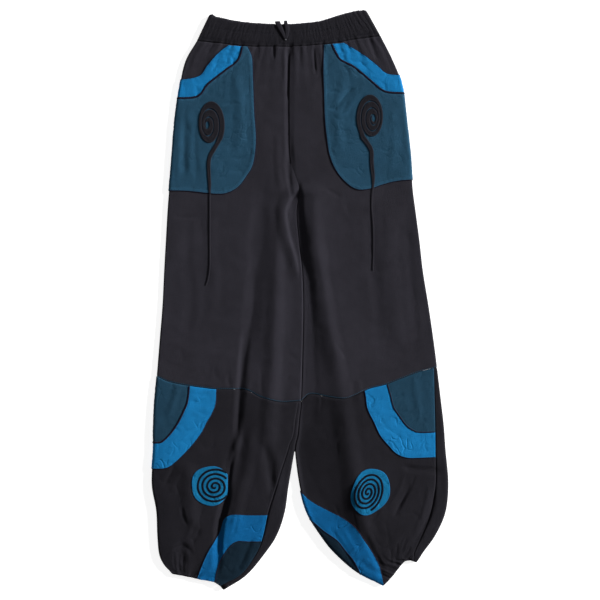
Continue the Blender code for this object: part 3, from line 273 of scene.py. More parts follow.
# Small creases, gathers' ends and soft marks that show, in the same terms as the folds.
CREASES = {
    "left": (
        ("trim mark", -1.1, 3, 3, ((-126, 436), (-118, 424), (-120, 410))),
        ("trim mark", -0.9, 3, 3, ((-150, 404), (-146, 396), (-152, 384))),
        ("trim mark", -0.8, 3, 3, ((-184, 380), (-182, 366), (-186, 352))),
        ("pocket mark", -1.0, 3, 3, ((-138, 345), (-120, 349), (-104, 346))),
        ("pocket mark", -0.9, 3, 3, ((-122, 252), (-108, 250), (-96, 254))),
        ("long wrinkle", -0.9, 4, 5, ((-228, 150), (-200, 146), (-176, 150))),
        ("front valley", -1.3, 4, 9, ((-19, 448), (-18, 415), (-20, 380), (-20, 330), (-19, 270), (-18, 225),
         (-16, 180))),
        ("shin crease's rise", 4.7, 10, 12, ((-104, -205), (-110, -250), (-118, -276), (-124, -300), (-128, -330),
         (-132, -362))),
        ("notch over the hem band", -1.1, 4, 5, ((-124, -345), (-129, -366), (-134, -388), (-139, -412))),
        ("centre front's rise", 1.4, 8, 8, ((-18, 440), (-18, 400), (-19, 360), (-19, 314), (-18, 262))),
        ("centre valley", -2.2, 6, 5, ((-24, 452), (-21, 420), (-20, 384), (-22, 350))),
        ("centre valley", -1.44, 7, 6, ((-25, 262), (-23, 238), (-18, 205), (-13, 176), (-14, 150))),
        ("beside the valley", 0.78, 9, 9, ((-40, 300), (-40, 240), (-34, 190))),
        ("shin crease core", -1.2, 5, 6, ((-112, -262), (-121, -290), (-126, -330), (-134, -372))),
        ("under the band", -1.6, 3, 4, ((-47, 452), (-46, 440), (-46, 424))),
        ("under the band", -0.84, 4, 5, ((-72, 452), (-74, 436), (-75, 420))),
        ("by the trim", -1.32, 6, 7, ((-150, 459), (-157, 450), (-166, 437))),
        ("by the seam", 0.78, 7, 6, ((-29, 448), (-27, 415), (-28, 380))),
        ("pocket side", 0.66, 9, 8, ((-196, 350), (-199, 290), (-197, 215))),
        ("pocket side", -0.6, 8, 8, ((-183, 340), (-186, 270), (-182, 210))),
        ("pocket side", 0.54, 9, 8, ((-212, 345), (-216, 280), (-214, 200))),
        ("pocket mark", -0.54, 4, 4, ((-119, 424), (-112, 417), (-106, 419))),
        ("pocket mark", -0.42, 5, 4, ((-110, 275), (-104, 268), (-96, 270))),
        ("pocket edge", -0.54, 4, 4, ((-101, 372), (-97, 355), (-100, 335), (-96, 310))),
        ("thigh", 0.9, 16, 18, ((-150, 190), (-158, 110), (-152, 30), (-160, -60))),
        ("thigh", -0.9, 14, 18, ((-196, 170), (-200, 80), (-192, 0), (-205, -90))),
        ("thigh line", -0.78, 5, 5, ((-80, 60), (-84, -18), (-92, -60), (-96, -96))),
        ("small", -0.54, 4, 4, ((-153, -84), (-146, -87), (-138, -85))),
        ("small", -0.48, 4, 4, ((-32, -100), (-30, -108), (-31, -120))),
        ("knee pull", -0.66, 6, 5, ((-126, -126), (-127, -142), (-122, -160))),
        ("knee pull", -0.54, 5, 5, ((-66, -128), (-69, -148), (-66, -170))),
        ("knee pull", 0.54, 6, 6, ((-88, -134), (-90, -152), (-94, -176))),
        ("crease core", -0.96, 4, 4, ((-100, -110), (-106, -157), (-109, -213), (-111, -252))),
        ("crease core", -1.2, 4, 5, ((-118, -275), (-126, -320), (-130, -350), (-140, -392), (-143, -443))),
        ("balloon side", -1.08, 6, 7, ((-220, -290), (-229, -308), (-240, -330))),
        ("balloon side", 0.78, 7, 6, ((-210, -296), (-220, -318), (-231, -340))),
        ("low side", -1.2, 6, 6, ((-210, -362), (-206, -382), (-199, -402))),
        ("low side", -1.08, 6, 6, ((-176, -404), (-183, -418), (-193, -430))),
        ("low side", 0.84, 7, 7, ((-188, -380), (-192, -402), (-204, -424))),
        ("hem arch", -1.44, 6, 6, ((-224, -446), (-214, -436), (-200, -438), (-188, -452))),
        ("hem line", -0.79, 3.5, 3.5, ((-222, -450), (-223, -464), (-220, -482))),
        ("hem line", -0.79, 3.5, 3.5, ((-214, -446), (-215, -464), (-213, -486))),
        ("hem line", -0.72, 3.5, 3.5, ((-205, -448), (-207, -466), (-205, -488))),
        ("hem band", -0.9, 5, 5, ((-111, -384), (-114, -400), (-119, -420))),
        ("inner calf", -1.2, 12, 14, ((-66, -245), (-60, -290), (-48, -330))),
        ("inner calf", 1.3, 12, 12, ((-40, -262), (-38, -310), (-52, -370))),
        ("inner hem", -1.08, 7, 7, ((-84, -420), (-98, -450), (-112, -488))),
        ("inner hem", 0.84, 7, 8, ((-72, -410), (-84, -440), (-98, -478))),
        ("knee band", -0.78, 5, 5, ((-214, -229), (-194, -230), (-168, -216), (-157, -203))),
        ("knee band", 0.6, 6, 6, ((-236, -262), (-214, -252), (-192, -232))),
        ("knee corner", 1.1, 10, 10, ((-214, -142), (-222, -176), (-238, -214))),
    ),
    "right": (
        ("trim mark", -1.1, 3, 3, ((66, 437), (74, 428), (80, 430))),
        ("trim mark", -1.0, 3, 3, ((98, 414), (104, 402), (116, 398))),
        ("trim mark", -1.0, 3, 3, ((140, 388), (150, 380), (152, 368))),
        ("pocket mark", -1.0, 3, 3, ((44, 365), (58, 370), (74, 366))),
        ("pocket mark", -0.9, 3, 3, ((140, 268), (152, 264), (168, 268))),
        ("long wrinkle", -0.9, 4, 5, ((46, 196), (60, 190), (72, 182))),
        ("roll of the right leg", 5.0, 60, 8, ((4, 220), (5, 180), (5, 140), (9, 95), (14, 30))),
        ("calf line", -1.3, 2.8, 3.4, ((206, -302), (196, -330), (184, -352), (172, -374))),
        ("side line", -0.7, 2.8, 3.4, ((252, -300), (250, -330), (240, -362), (222, -398))),
        ("centre front's rise", 1.4, 8, 8, ((-18, 440), (-18, 400), (-19, 360), (-19, 314), (-18, 262))),
        ("leg gap", -2.6, 10, 5, ((-1, 196), (-1, 160), (3, 110), (7, 60), (10, 20))),
        ("by the seam", 0.72, 7, 7, ((-8, 448), (-7, 410), (-9, 376))),
        ("under the band", -1.8, 3, 4, ((24, 450), (26, 425), (28, 398))),
        ("under the band", -0.78, 5, 5, ((2, 450), (0, 436), (1, 420))),
        ("by the trim", -1.44, 6, 6, ((121, 466), (129, 445), (139, 420))),
        ("by the trim", -1.08, 5, 5, ((131, 466), (138, 458), (146, 448))),
        ("pocket pull", -1.92, 6, 8, ((102, 381), (79, 361), (66, 341), (52, 337))),
        ("pocket pull", 1.2, 8, 7, ((110, 372), (90, 350), (78, 330), (62, 322))),
        ("pocket mark", -0.6, 4, 4, ((70, 414), (78, 411), (88, 404))),
        ("pocket mark", -0.48, 4, 4, ((60, 326), (66, 322), (72, 324))),
        ("pocket mark", -0.42, 5, 5, ((56, 289), (70, 286), (88, 289))),
        ("pocket side", 0.6, 9, 9, ((160, 350), (166, 290), (160, 220))),
        ("pocket side", -0.54, 9, 9, ((178, 350), (182, 290), (178, 225))),
        ("thigh", -0.9, 16, 16, ((120, 180), (126, 90), (136, 0), (140, -80))),
        ("thigh", -0.8, 12, 12, ((192, 160), (196, 60), (202, -20), (208, -90))),
        ("small", -0.78, 4, 4, ((64, -76), (74, -90), (82, -106))),
        ("small", -0.6, 4, 4, ((192, -82), (200, -78), (212, -70))),
        ("knee pull", -0.6, 6, 5, ((92, -140), (94, -160), (90, -184))),
        ("knee pull", 0.54, 6, 6, ((104, -140), (106, -160), (102, -182))),
        ("knee pull", -0.6, 5, 5, ((34, -160), (38, -178), (36, -200))),
        ("calf", -1.5, 3.2, 3.6, ((196, -318), (186, -345), (165, -382))),
        ("calf", 0.78, 6, 6, ((186, -308), (174, -336), (154, -372))),
        ("side", -1.5, 3.2, 3.6, ((239, -326), (236, -350), (227, -384), (208, -422))),
        ("side", 0.9, 6, 6, ((228, -322), (224, -350), (214, -384), (198, -416))),
        ("hem line", -0.79, 4, 4, ((160, -438), (161, -452), (160, -470))),
        ("hem line", -0.72, 4, 4, ((189, -418), (184, -432), (180, -446))),
        ("hem line", -0.72, 4, 4, ((197, -436), (189, -448), (181, -458))),
        ("hem line", -0.65, 4, 4, ((172, -430), (171, -450), (170, -474))),
        ("band edge", -1.2, 5, 5, ((134, -448), (142, -462), (149, -480))),
        ("side step", -0.84, 5, 6, ((184, -296), (220, -298), (258, -298))),
        ("inner hem", -0.9, 7, 7, ((52, -400), (72, -430), (96, -470))),
        ("inner hem", 0.72, 7, 7, ((66, -392), (88, -424), (110, -466))),
        ("knee band", -0.72, 5, 5, ((150, -222), (172, -240), (196, -252))),
        ("knee corner", 1, 10, 10, ((200, -128), (206, -170), (214, -214))),
        ("disc", -0.54, 5, 5, ((138, -366), (132, -384), (118, -396))),
    ),
}


def smooth(rows, at):
    """The smooth curve through rows that are numbered 0, 1, 2 ..., at any places between them."""
    rows, at = np.asarray(rows, float), np.asarray(at, float)
    first = np.clip(np.floor(at).astype(int), 0, len(rows) - 2)
    padded = np.concatenate([[2 * rows[0] - rows[1]], rows, [2 * rows[-1] - rows[-2]]])
    a, b, c, d = (padded[first + k] for k in range(4))
    t = (at - first).reshape(at.shape + (1,) * (rows.ndim - 1))
    return b + 0.5 * t * (c - a + t * (2 * a - 5 * b + 4 * c - d + t * (3 * (b - c) + d - a)))


def curve(points, steps=12):
    """Points along the smooth curve through the given ones."""
    return smooth(points, np.linspace(0, len(points) - 1, (len(points) - 1) * steps + 1))


def ease(x):
    """A smooth step from 0 at x = 0 to 1 at x = 1."""
    x = np.clip(x, 0, 1)
    return x * x * (3 - 2 * x)


def bell(x, width):
    """1 at x = 0, falling off smoothly to either side."""
    return np.exp(-((x / width) ** 2))


def unit(vectors):
    """The vectors scaled to length 1."""
    return vectors / np.linalg.norm(vectors, axis=-1, keepdims=True)


def run_of(points):
    """The length along a line of points, at each of them."""
    return np.concatenate([[0], np.cumsum(np.linalg.norm(np.diff(points, axis=0), axis=1))])


def tilted(x, y, degrees, centre):
    """Points turned about the origin and moved to a centre."""
    tilt = math.radians(degrees)
    return np.column_stack([x * math.cos(tilt) - y * math.sin(tilt), x * math.sin(tilt) + y * math.cos(tilt)]) + centre


def cloud(x, y, size, seed):
    """Smooth noise between -1 and 1, with features of the given size."""
    table = np.random.RandomState(seed).uniform(-1, 1, (64, 64))
    x, y = (0.96 * x + 0.28 * y) / size, (0.96 * y - 0.28 * x) / size
    i, j = np.floor(x).astype(int), np.floor(y).astype(int)
    s, t = ease(x - i), ease(y - j)
    pick = lambda p, q: table[(i + p) % 64, (j + q) % 64]
    return (pick(0, 0) * (1 - s) + pick(1, 0) * s) * (1 - t) + (pick(0, 1) * (1 - s) + pick(1, 1) * s) * t


def crush(x, y, size, seed):
    """Short sharp creases where smooth noise passes zero, between 0 and 1."""
    return bell(cloud(x, y * 0.75, size, seed), 0.085) * ease(0.2 + 1.6 * cloud(x, y, 1.7 * size, seed + 1))


def fold_profile(fold, line, x, y):
    """A fold's height at points near its line: a rounded wave across it, fading at both ends."""
    start, step = line[:-1], np.diff(line, axis=0)
    point = np.stack([x, y], axis=-1)[..., None, :] - start
    along = np.clip((point * step).sum(-1) / (step * step).sum(-1), 0, 1)
    away = point - along[..., None] * step
    distance = np.linalg.norm(away, axis=-1)
    near = distance.argmin(-1)[..., None]
    pick = lambda values: np.take_along_axis(values, near, -1)[..., 0]
    side = pick(step[:, 0] * away[..., 1] - step[:, 1] * away[..., 0])
    width = np.where(side > 0, fold.left, fold.right)
    share = (near[..., 0] + pick(along)) / len(start)
    across = 0.5 + 0.5 * np.cos(np.pi * np.clip(pick(distance) / width, 0, 1))
    return fold.height * across * ease(share / 0.22) * ease((1 - share) / 0.22)


def facet_height(facet, x, y):
    """How much a facet adds to the cloth's height at (x, y)."""
    down, foot, ridge, sunk = np.array(facet.rows[::-1]).T
    foot, ridge, sunk = (np.interp(y, down, value) for value in (foot, ridge, sunk))
    high = np.minimum(facet.slope * (ridge - foot), FACET_TOP)
    rising = high * (x - foot) / (ridge - foot)
    past = np.clip((x - ridge) / facet.spread, 0, 1)
    falling = high * (0.4 * (0.5 + 0.5 * np.cos(math.pi * past)) + 0.6 * (1 - past) ** 1.5)
    height = (rising + falling - np.sqrt((rising - falling) ** 2 + 0.1)) / 2
    height = np.maximum(height, 0) - sunk * ease((ridge + 30 - x) / (ridge + 30 - foot)) * ease((x - foot + 70) / 60)
    share = (down[-1] - y) / (down[-1] - down[0])
    return height * ease(share / 0.1) * ease((1 - share) / 0.1)


def fold_height(fold, x, y):
    """How much a fold adds to the cloth's height at (x, y)."""
    line, reach = curve(fold.line, 4), max(fold.left, fold.right)
    (left, low), (right, high) = line.min(0) - reach, line.max(0) + reach
    near = (x > left) & (x < right) & (y > low) & (y < high)
    height = np.zeros_like(x)
    if near.any():
        height[near] = fold_profile(fold, line, x[near], y[near])
    return height


class Leg:
    """One half of the trousers as a surface round it. A place on it is (v, a): v counts the sections, and a
    is the length along the cloth from the outer turned edge, over the front to the inner one, and back."""

    def __init__(self, side):
        self.side = side
        self.sign = 1 if side == "left" else -1
        self.outer_rows = [getattr(s, side + "_outer") for s in SECTIONS]
        self.rolls = [(s.roll, getattr(s, "roll_" + side), s.puff) for s in SECTIONS]
        self.bows = [b for b in BOWS if b.leg == side]
        self.folds = [Fold(*row) for row in FOLDS[side] + CREASES[side]]
        self.facets = [f for f in FACETS if f.leg == side]
        self.fine = np.linspace(0, HEM + 0.5, 1001)
        self.middle = (self.outer(self.fine) + self.inner(self.fine)) / 2
        self.run = run_of(self.middle)

    def outer(self, v):
        return smooth(self.outer_rows, v)

    def inner(self, v):
        """The inner edge. The two legs keep a seam's gap between them until they part."""
        left = smooth([s.left_inner for s in SECTIONS], v)
        right = smooth([s.right_inner for s in SECTIONS], v)
        spread = (right - left) / 2
        spread[..., 0] = np.maximum(spread[..., 0], SEAM_GAP / 2)
        return (left + right) / 2 - self.sign * spread

    def sizes(self, v):
        """At section v: width, radius of the outer and inner edge, swelling, and how far the inner edge is closed."""
        width = np.linalg.norm(self.inner(v) - self.outer(v), axis=-1)
        roll, roll_in, puff = np.moveaxis(smooth(self.rolls, v), -1, 0)
        return width, roll, roll_in, puff, ease((v - CROTCH) / 0.5)

    def length(self, v):
        """Length of the cloth from edge to edge across the front."""
        width, roll, roll_in, _, _ = self.sizes(v)
        return width + (math.pi / 2 - 1) * (roll + roll_in)

    def down(self, v):
        """Length of the cloth from the waist seam down to section v."""
        return np.interp(v, self.fine, self.run)

    def section(self, down):
        return np.interp(down, self.run, self.fine)

    def plan(self, u, v, front=1.0):
        """Where the share u of the way from outer to inner edge lies, seen from above. front is 0 behind."""
        point = self.outer(v) * (1 - u)[..., None] + self.inner(v) * u[..., None]
        for bow in self.bows:
            at, rise = zip(*bow.rises)
            rises = smooth(rise, np.interp(u, at, range(len(at))))
            rises = rises * np.maximum(front, bow.behind)
            point[..., 1] += rises * bell(v - bow.section, bow.reach)
        return point

    def places(self, points):
        """The place (v, a) on the front of each point as laid, found by Newton's steps."""
        points = np.asarray(points, float)
        v = np.interp(-points[:, 1], -self.middle[:, 1], self.fine)
        u = np.full_like(v, 0.5)
        for _ in range(16):
            here = self.plan(u, v)
            across = (self.plan(u + 0.001, v) - here) / 0.001
            down = (self.plan(u, v + 0.001) - here) / 0.001
            miss = points - here
            spread = across[:, 0] * down[:, 1] - across[:, 1] * down[:, 0]
            step_u = (miss[:, 0] * down[:, 1] - miss[:, 1] * down[:, 0]) / spread
            step_v = (across[:, 0] * miss[:, 1] - across[:, 1] * miss[:, 0]) / spread
            u = np.clip(u + np.clip(step_u, -0.5, 0.5), -0.3, 1.3)
            v = np.clip(v + np.clip(step_v, -1, 1), 0, HEM + 0.4)
        width, roll, roll_in, _, _ = self.sizes(v)
        out, back = u * width, (1 - u) * width
        turned = roll * np.arccos(1 - np.clip(out / roll, 0, 1))
        turned_in = roll_in * np.arccos(1 - np.clip(back / roll_in, 0, 1))
        a = out + (math.pi / 2 - 1) * roll
        a = np.where(out < roll, np.where(out < 0, out, turned), a)
        a = np.where(back < roll_in, self.length(v) - np.where(back < 0, back, turned_in), a)
        return v, a

    def gathers(self, u, v):
        """Soft folds under the band, and gathers that the elastic draws in at the hem."""
        waves = lambda count, lean: np.cos(2 * math.pi * count * (u + lean * np.sin(17 * u)))
        added = GATHER_DEPTH * (0.45 + 0.3 * np.sin(31 * u)) * waves(WAIST_FOLDS, 0.03) * ease(1 - v / 2.6)
        added += 0.25 * waves(17, 0.022) * ease(1 - v / 0.7)
        added += 0.6 * np.cos(2 * math.pi * HEM_FOLDS * (u + 0.02 * np.sin(13 * u))) * ease((v - HEM + 3) / 3)
        return added + 0.25 * waves(13, 0.016) * ease((v - HEM + 1.2) / 1.0)

    def front(self, u, v, x, y):
        """Height of the front cloth, as if its edges weren't turned."""
        width, roll, roll_in, puff, closed = self.sizes(v)
        edge = CENTRE_HEIGHT * (1 - closed) + 2 * roll_in * closed
        sunk = ease((v - 3.5) / 5)
        inner = CENTRE_HEIGHT * (1 - sunk) + 2 * roll_in * sunk
        outside = 1 - bell(u * width, EDGE_FADE)
        inside = 1 - closed * bell((1 - u) * width, INNER_FADE)
        swell = (1 - np.exp(-u * width / PUFF_FADE)) * (1 - closed * np.exp(-(1 - u) * width / PUFF_FADE))
        added = sum(fold_height(fold, x, y) for fold in self.folds) + self.gathers(u, v)
        added += sum(facet_height(facet, x, y) for facet in self.facets)
        added += CRUMPLE * (cloud(x, y * 0.7, 46, 3) + 0.6 * cloud(x, y, 19, 5) + 0.34 * cloud(x, y, 8.5, 7))
        added -= 0.9 * CRUMPLE * (crush(x, y, 26, 61) + 0.5 * crush(x, y, 13, 63)) * (0.4 + 0.6 * ease((v - 9) / 3))
        height = 2 * roll * (1 - u) + inner * u + (edge - inner) * bell((1 - u) * width, CROTCH_DIP)
        height += puff * swell + added * outside * inside
        spare = height - LOWEST_FRONT
        return LOWEST_FRONT + np.where(spare > 1, spare, np.exp(np.minimum(spare, 1) - 1))

    def point(self, v, a):
        """The place (v, a) on the surface."""
        width, roll, roll_in, _, closed = self.sizes(v)
        half = self.length(v)
        a = half - (half - a) % (2 * half)
        run = np.abs(a)
        outer_turn, inner_turn = (np.clip(s, 0, math.pi / 2) for s in (run / roll, (half - run) / roll_in))
        flat = np.clip(run - math.pi / 2 * roll, 0, width - roll - roll_in)
        u = (roll * (1 - np.cos(outer_turn)) + flat + roll_in * (np.cos(inner_turn))) / width
        x, y = np.moveaxis(self.plan(u, v, a >= 0), -1, 0)
        drop = roll * (1 - np.sin(outer_turn)) + closed * roll_in * (1 - np.sin(inner_turn))
        behind = BACK_CRUMPLE * np.maximum(cloud(x, y, 34, 11) + 0.4 * cloud(x, y, 12, 13), 0)
        behind *= ease(u * width / 30 - 0.3) * ease((1 - u) * width / 30 - 0.3)
        z = np.where(a >= 0, self.front(u, v, x, y) - drop, drop + behind)
        return np.stack([x, y, z], axis=-1)


LEGS = {side: Leg(side) for side in ("left", "right")}


def chain(places, counts):
    """Stations across a panel: places and, between them, how many steps to take from one to the next."""
    columns = [places[0]]
    for start, end, count in zip(places, places[1:], counts):
        columns += [start + (end - start) * k / count for k in range(1, count + 1)]
    return np.stack(columns, axis=-1)


class Panel:
    """A cut piece of a leg as a fine lattice of points, with a row for each place down the leg."""

    def __init__(self, side, part, face):
        self.leg, self.side, self.part, self.face = LEGS[side], side, part, face
        leg, gap = self.leg, SEAM_GAP / 2
        knee = leg.down(KNEE)
        first, last = (leg.down(0.012), knee - gap) if part == "upper" else (knee + gap, leg.down(HEM))
        step = ROW_STEP if face == "front" else 2 * ROW_STEP
        self.v = leg.section(np.linspace(first, last, int((last - first) / step) + 1))
        stops = self.stops(self.v)
        turns, flat = (7, 104) if face == "front" else (5, 44)
        self.counts = [flat if np.mean(e - s) > 40 else 2 if np.mean(e - s) < 3.4 else turns
                       for s, e in zip(stops, stops[1:])]
        self.a = chain(stops, self.counts)
        down = np.repeat(self.v[:, None], self.a.shape[1], axis=1)
        self.point = leg.point(down, self.a)
        self.down = leg.down(down)
        self.facing = self.directions()
        self.seam = self.seam_distance(down)
        length = self.down + self.a
        knee = np.abs(self.down - leg.down(KNEE))
        tight = 0.35 + 0.65 * (knee < self.seam + 0.01)
        dip = tight * SEAM_DIP * bell(self.seam, 1.7)
        dip += tight * 0.22 * np.sin(length / 1.35 + 2.5 * cloud(self.a, self.down, 14, 23)) * np.exp(-self.seam / 5)
        if part == "lower":
            from_hem = leg.down(HEM) - self.down
            dip += 0.5 * bell(from_hem - HEM_CASING, 1.3) * (self.point[..., 2] > 2.4)
        self.point -= dip[..., None] * self.facing
        self.point[..., 2] = np.maximum(self.point[..., 2], 0)
        self.facing = self.directions()

    def stops(self, v):
        """Where the panel starts, turns over an edge and ends."""
        leg, front = self.leg, self.face == "front"
        half = leg.length(v)
        _, roll, roll_in, _, _ = leg.sizes(v)
        turn, turn_in = math.pi / 2 * roll, math.pi / 2 * roll_in
        if self.part == "upper":
            if front:
                return [-turn - SEAM_BEHIND, -turn, 0 * v, turn, half - turn_in, half - SEAM_GAP / 2]
            return [half + SEAM_GAP / 2, half + turn_in, 2 * half - turn - SEAM_BEHIND - SEAM_GAP]
        if self.side == "left":
            seam = half - smooth(LEFT_INSEAM, v - KNEE)
            if front:
                return [-turn - SEAM_BEHIND, -turn, 0 * v, turn, seam]
            return [seam + SEAM_GAP, half - turn_in, half, half + turn_in, 2 * half - turn - SEAM_BEHIND - SEAM_GAP]
        seam = smooth(RIGHT_SIDE_SEAM, v - KNEE)
        if front:
            return [seam, half - turn_in, half, half + turn_in, half + turn_in + SEAM_BEHIND]
        return [half + turn_in + SEAM_BEHIND + SEAM_GAP, 2 * half - turn, 2 * half, 2 * half + turn,
                2 * half + seam - SEAM_GAP]

    def shown(self, v):
        """Between which places across the front a sewn-on piece may lie."""
        half = self.leg.length(v)
        if self.part == "upper":
            return 0 * v - EDGE_WRAP, half - SEAM_GAP
        if self.side == "left":
            return 0 * v - EDGE_WRAP, half - smooth(LEFT_INSEAM, v - KNEE) - 0.2
        return smooth(RIGHT_SIDE_SEAM, v - KNEE) + 0.2, half + EDGE_WRAP

    def directions(self):
        """The direction out of the cloth at each point of the lattice."""
        normal = self.leg.sign * np.cross(*np.gradient(self.point, axis=(0, 1)))
        if self.part == "upper":
            ends = (self.v < 5.6)[:, None] & (np.abs(self.a - self.leg.length(self.v)[:, None]) < 0.6)
            normal[ends, 0] = self.leg.sign * np.maximum(self.leg.sign * normal[ends, 0], 0)
        return normal / np.maximum(np.linalg.norm(normal, axis=-1, keepdims=True), 1e-9)

    def seam_distance(self, down):
        """How far each point of the lattice is from the nearest seam that shows."""
        knee = np.abs(self.down - self.leg.down(KNEE))
        if self.part == "upper":
            centre = np.abs(self.a - self.leg.length(down)) + 60 * ease((down - CROTCH) / 0.5)
            return np.minimum(knee, centre)
        edge = self.stops(down)[-1 if (self.side == "left") == (self.face == "front") else 0]
        return np.minimum(knee, np.abs(self.a - edge))

    def at(self, v, a, lift=0.0):
        """Points on the cloth, moved out by lift, and the directions out of it there."""
        row, column = np.interp(v, self.v, np.arange(len(self.v))), 0.0
        stops = self.stops(v)
        for start, end, count in zip(stops, stops[1:], self.counts):
            column = column + count * np.clip((a - start) / (end - start), 0, 1)
        i = np.clip(row.astype(int), 0, self.point.shape[0] - 2)
        j = np.clip(column.astype(int), 0, self.point.shape[1] - 2)
        s, t = (row - i)[..., None], (column - j)[..., None]

        def pick(values):
            return ((values[i, j] * (1 - s) + values[i + 1, j] * s) * (1 - t)
                    + (values[i, j + 1] * (1 - s) + values[i + 1, j + 1] * s) * t)

        facing = unit(pick(self.facing))
        return pick(self.point) + np.asarray(lift)[..., None] * facing, facing


MADE = {}  # the panels worked out so far


def panel_of(side, part, face="front"):
    """The panel's lattice, worked out once."""
    key = (side, part, face)
    if key not in MADE:
        MADE[key] = Panel(*key)
    return MADE[key]


def shell(inside, outside):
    """Faces of a closed shell between two grids of points: the outer layer's points come first."""
    rows, columns = outside.shape[:2]
    number = np.arange(rows * columns).reshape(rows, columns)
    quads = np.stack([number[:-1, :-1], number[1:, :-1], number[1:, 1:], number[:-1, 1:]], axis=-1).reshape(-1, 4)
    rim = np.concatenate([number[:, 0], number[-1, 1:], number[-2::-1, -1], number[0, -2:0:-1]])
    after, count = np.roll(rim, -1), rows * columns
    sides = np.stack([after, rim, rim + count, after + count], axis=-1)
    faces = np.concatenate([quads, quads[:, ::-1] + count, sides])
    return np.concatenate([outside.reshape(-1, 3), inside.reshape(-1, 3)]), faces


def link(name, data):
    """A new object at the origin that shows the mesh, camera or light."""
    made = bpy.data.objects.new(name, data)
    bpy.context.scene.collection.objects.link(made)
    return made


def new_object(name, points, faces, look, uv, wear=None):
    """A mesh given in millimetres, with the cloth's own coordinates in metres as its UV map."""
    mesh = bpy.data.meshes.new(name)
    points = np.array(points, float)
    points[:, 2] = np.maximum(points[:, 2], 0)  # nothing goes below the surface it lies on
    mesh.from_pydata((points * MM).tolist(), [], [list(face) for face in faces])
    mesh.shade_smooth()
    corner = np.empty(len(mesh.loops), int)
    mesh.loops.foreach_get("vertex_index", corner)
    mesh.uv_layers.new(name="cloth").data.foreach_set("uv", (np.asarray(uv)[corner] * MM).ravel())
    worn = mesh.attributes.new("wear", "FLOAT", "POINT")
    worn.data.foreach_set("value", np.zeros(len(mesh.vertices)) if wear is None else np.asarray(wear, float))
    mesh.materials.append(look)
    mesh.validate()
    return link(name, mesh)


def fasten(made):
    """Fixes a piece to the garment's one body."""
    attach(made, "root")
    return made


def sew(made, flat, area):
    """Fixes a cloth piece to the garment's one body and hides the solid it replaces. Its cut, given in millimetres, is
    not used.
    """
    fasten(made)
    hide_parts(made.name[len("look_"):])
    flat[0] * MM
    flat[1] * MM
    area * MM * MM


def spaced(line, step, closed=True):
    """A line with points added until none are further apart than step."""
    points = []
    ends = np.roll(line, -1, 0) if closed else line[1:]
    for start, end in zip(line, ends):
        count = max(1, math.ceil(np.linalg.norm(end - start) / step))
        points += [start + (end - start) * k / count for k in range(count)]
    return np.array(points if closed else points + [line[-1]])


def thinned(line, least):
    """A closed line without points that nearly touch the last one kept."""
    kept = [line[0]]
    for point in line[1:]:
        if np.linalg.norm(point - kept[-1]) > least:
            kept.append(point)
    while len(kept) > 3 and np.linalg.norm(kept[-1] - kept[0]) < least:
        kept.pop()
    return np.array(kept)


def sideways(line):
    """The direction to the left of a line at each of its points."""
    way = np.gradient(line, axis=0)
    return unit(np.column_stack([-way[:, 1], way[:, 0]]))


def offset(line, distance):
    """A line moved sideways, to its left for a positive distance."""
    line = np.asarray(line, float)
    return line + distance * sideways(line)


def between(first, second):
    """The outline between two curves that start at the same end."""
    return np.concatenate([curve(first), curve(second)[::-1]])


def clipped(line, axis, limit, way):
    """A closed line cut off where its coordinate passes the limit."""
    kept = []
    for here, after in zip(line, np.roll(line, -1, 0)):
        a, b = way * (here[axis] - limit), way * (after[axis] - limit)
        if a >= 0:
            kept.append(here)
        if (a >= 0) != (b >= 0):
            kept.append(here + (after - here) * a / (a - b))
    return np.array(kept)


def unrolled(panel, outline, ends):
    """An outline as laid, carried into the flat cloth as (across, down) and trimmed to the panel."""
    leg = panel.leg
    v, a = leg.places(spaced(outline, 1.3))
    low, high = panel.shown(v)
    line = np.column_stack([(a - low) / (high - low), v])
    for cut in ((0, 0.0, 1), (0, 1.0, -1), (1, ends[0], 1), (1, ends[1], -1)):
        line = clipped(line, *cut)
    scale = np.array([240.0, 50.0])  # a panel's width and the length of a section, about
    line = spaced(line * scale, 1.5) / scale
    low, high = panel.shown(line[:, 1])
    return thinned(np.column_stack([low + line[:, 0] * (high - low), leg.down(line[:, 1])]), 0.45)


def to_outline(points, outline):
    """For points near a closed outline: the distance to it, the length along it, and which are inside."""
    step = np.roll(outline, -1, 0) - outline
    size = np.linalg.norm(step, axis=1)
    run = np.concatenate([[0], np.cumsum(size)])[:-1]
    found = []
    for some in np.array_split(points, max(1, len(points) // 1200)):  # in parts, to save memory
        gap = some[:, None] - outline
        share = np.clip((gap * step).sum(-1) / size**2, 0, 1)
        away = np.linalg.norm(gap - share[..., None] * step, axis=-1)
        near = away.argmin(1)
        pick = lambda values: np.take_along_axis(values, near[:, None], 1)[:, 0]
        y, low, high = some[:, None, 1], outline[:, 1], outline[:, 1] + step[:, 1]
        crossed = (low > y) != (high > y)
        at = outline[:, 0] + (y - low) * step[:, 0] / np.where(step[:, 1] == 0, 1, step[:, 1])
        inside = (crossed & (some[:, None, 0] < at)).sum(1) % 2 == 1
        found.append((pick(away), run[near] + pick(share) * size[near], inside))
    return [np.concatenate(values) for values in zip(*found)]


RINGS = (0.3, 0.7, 1.2, 1.9, 2.8)  # how far inside its edge a patch has rings of points


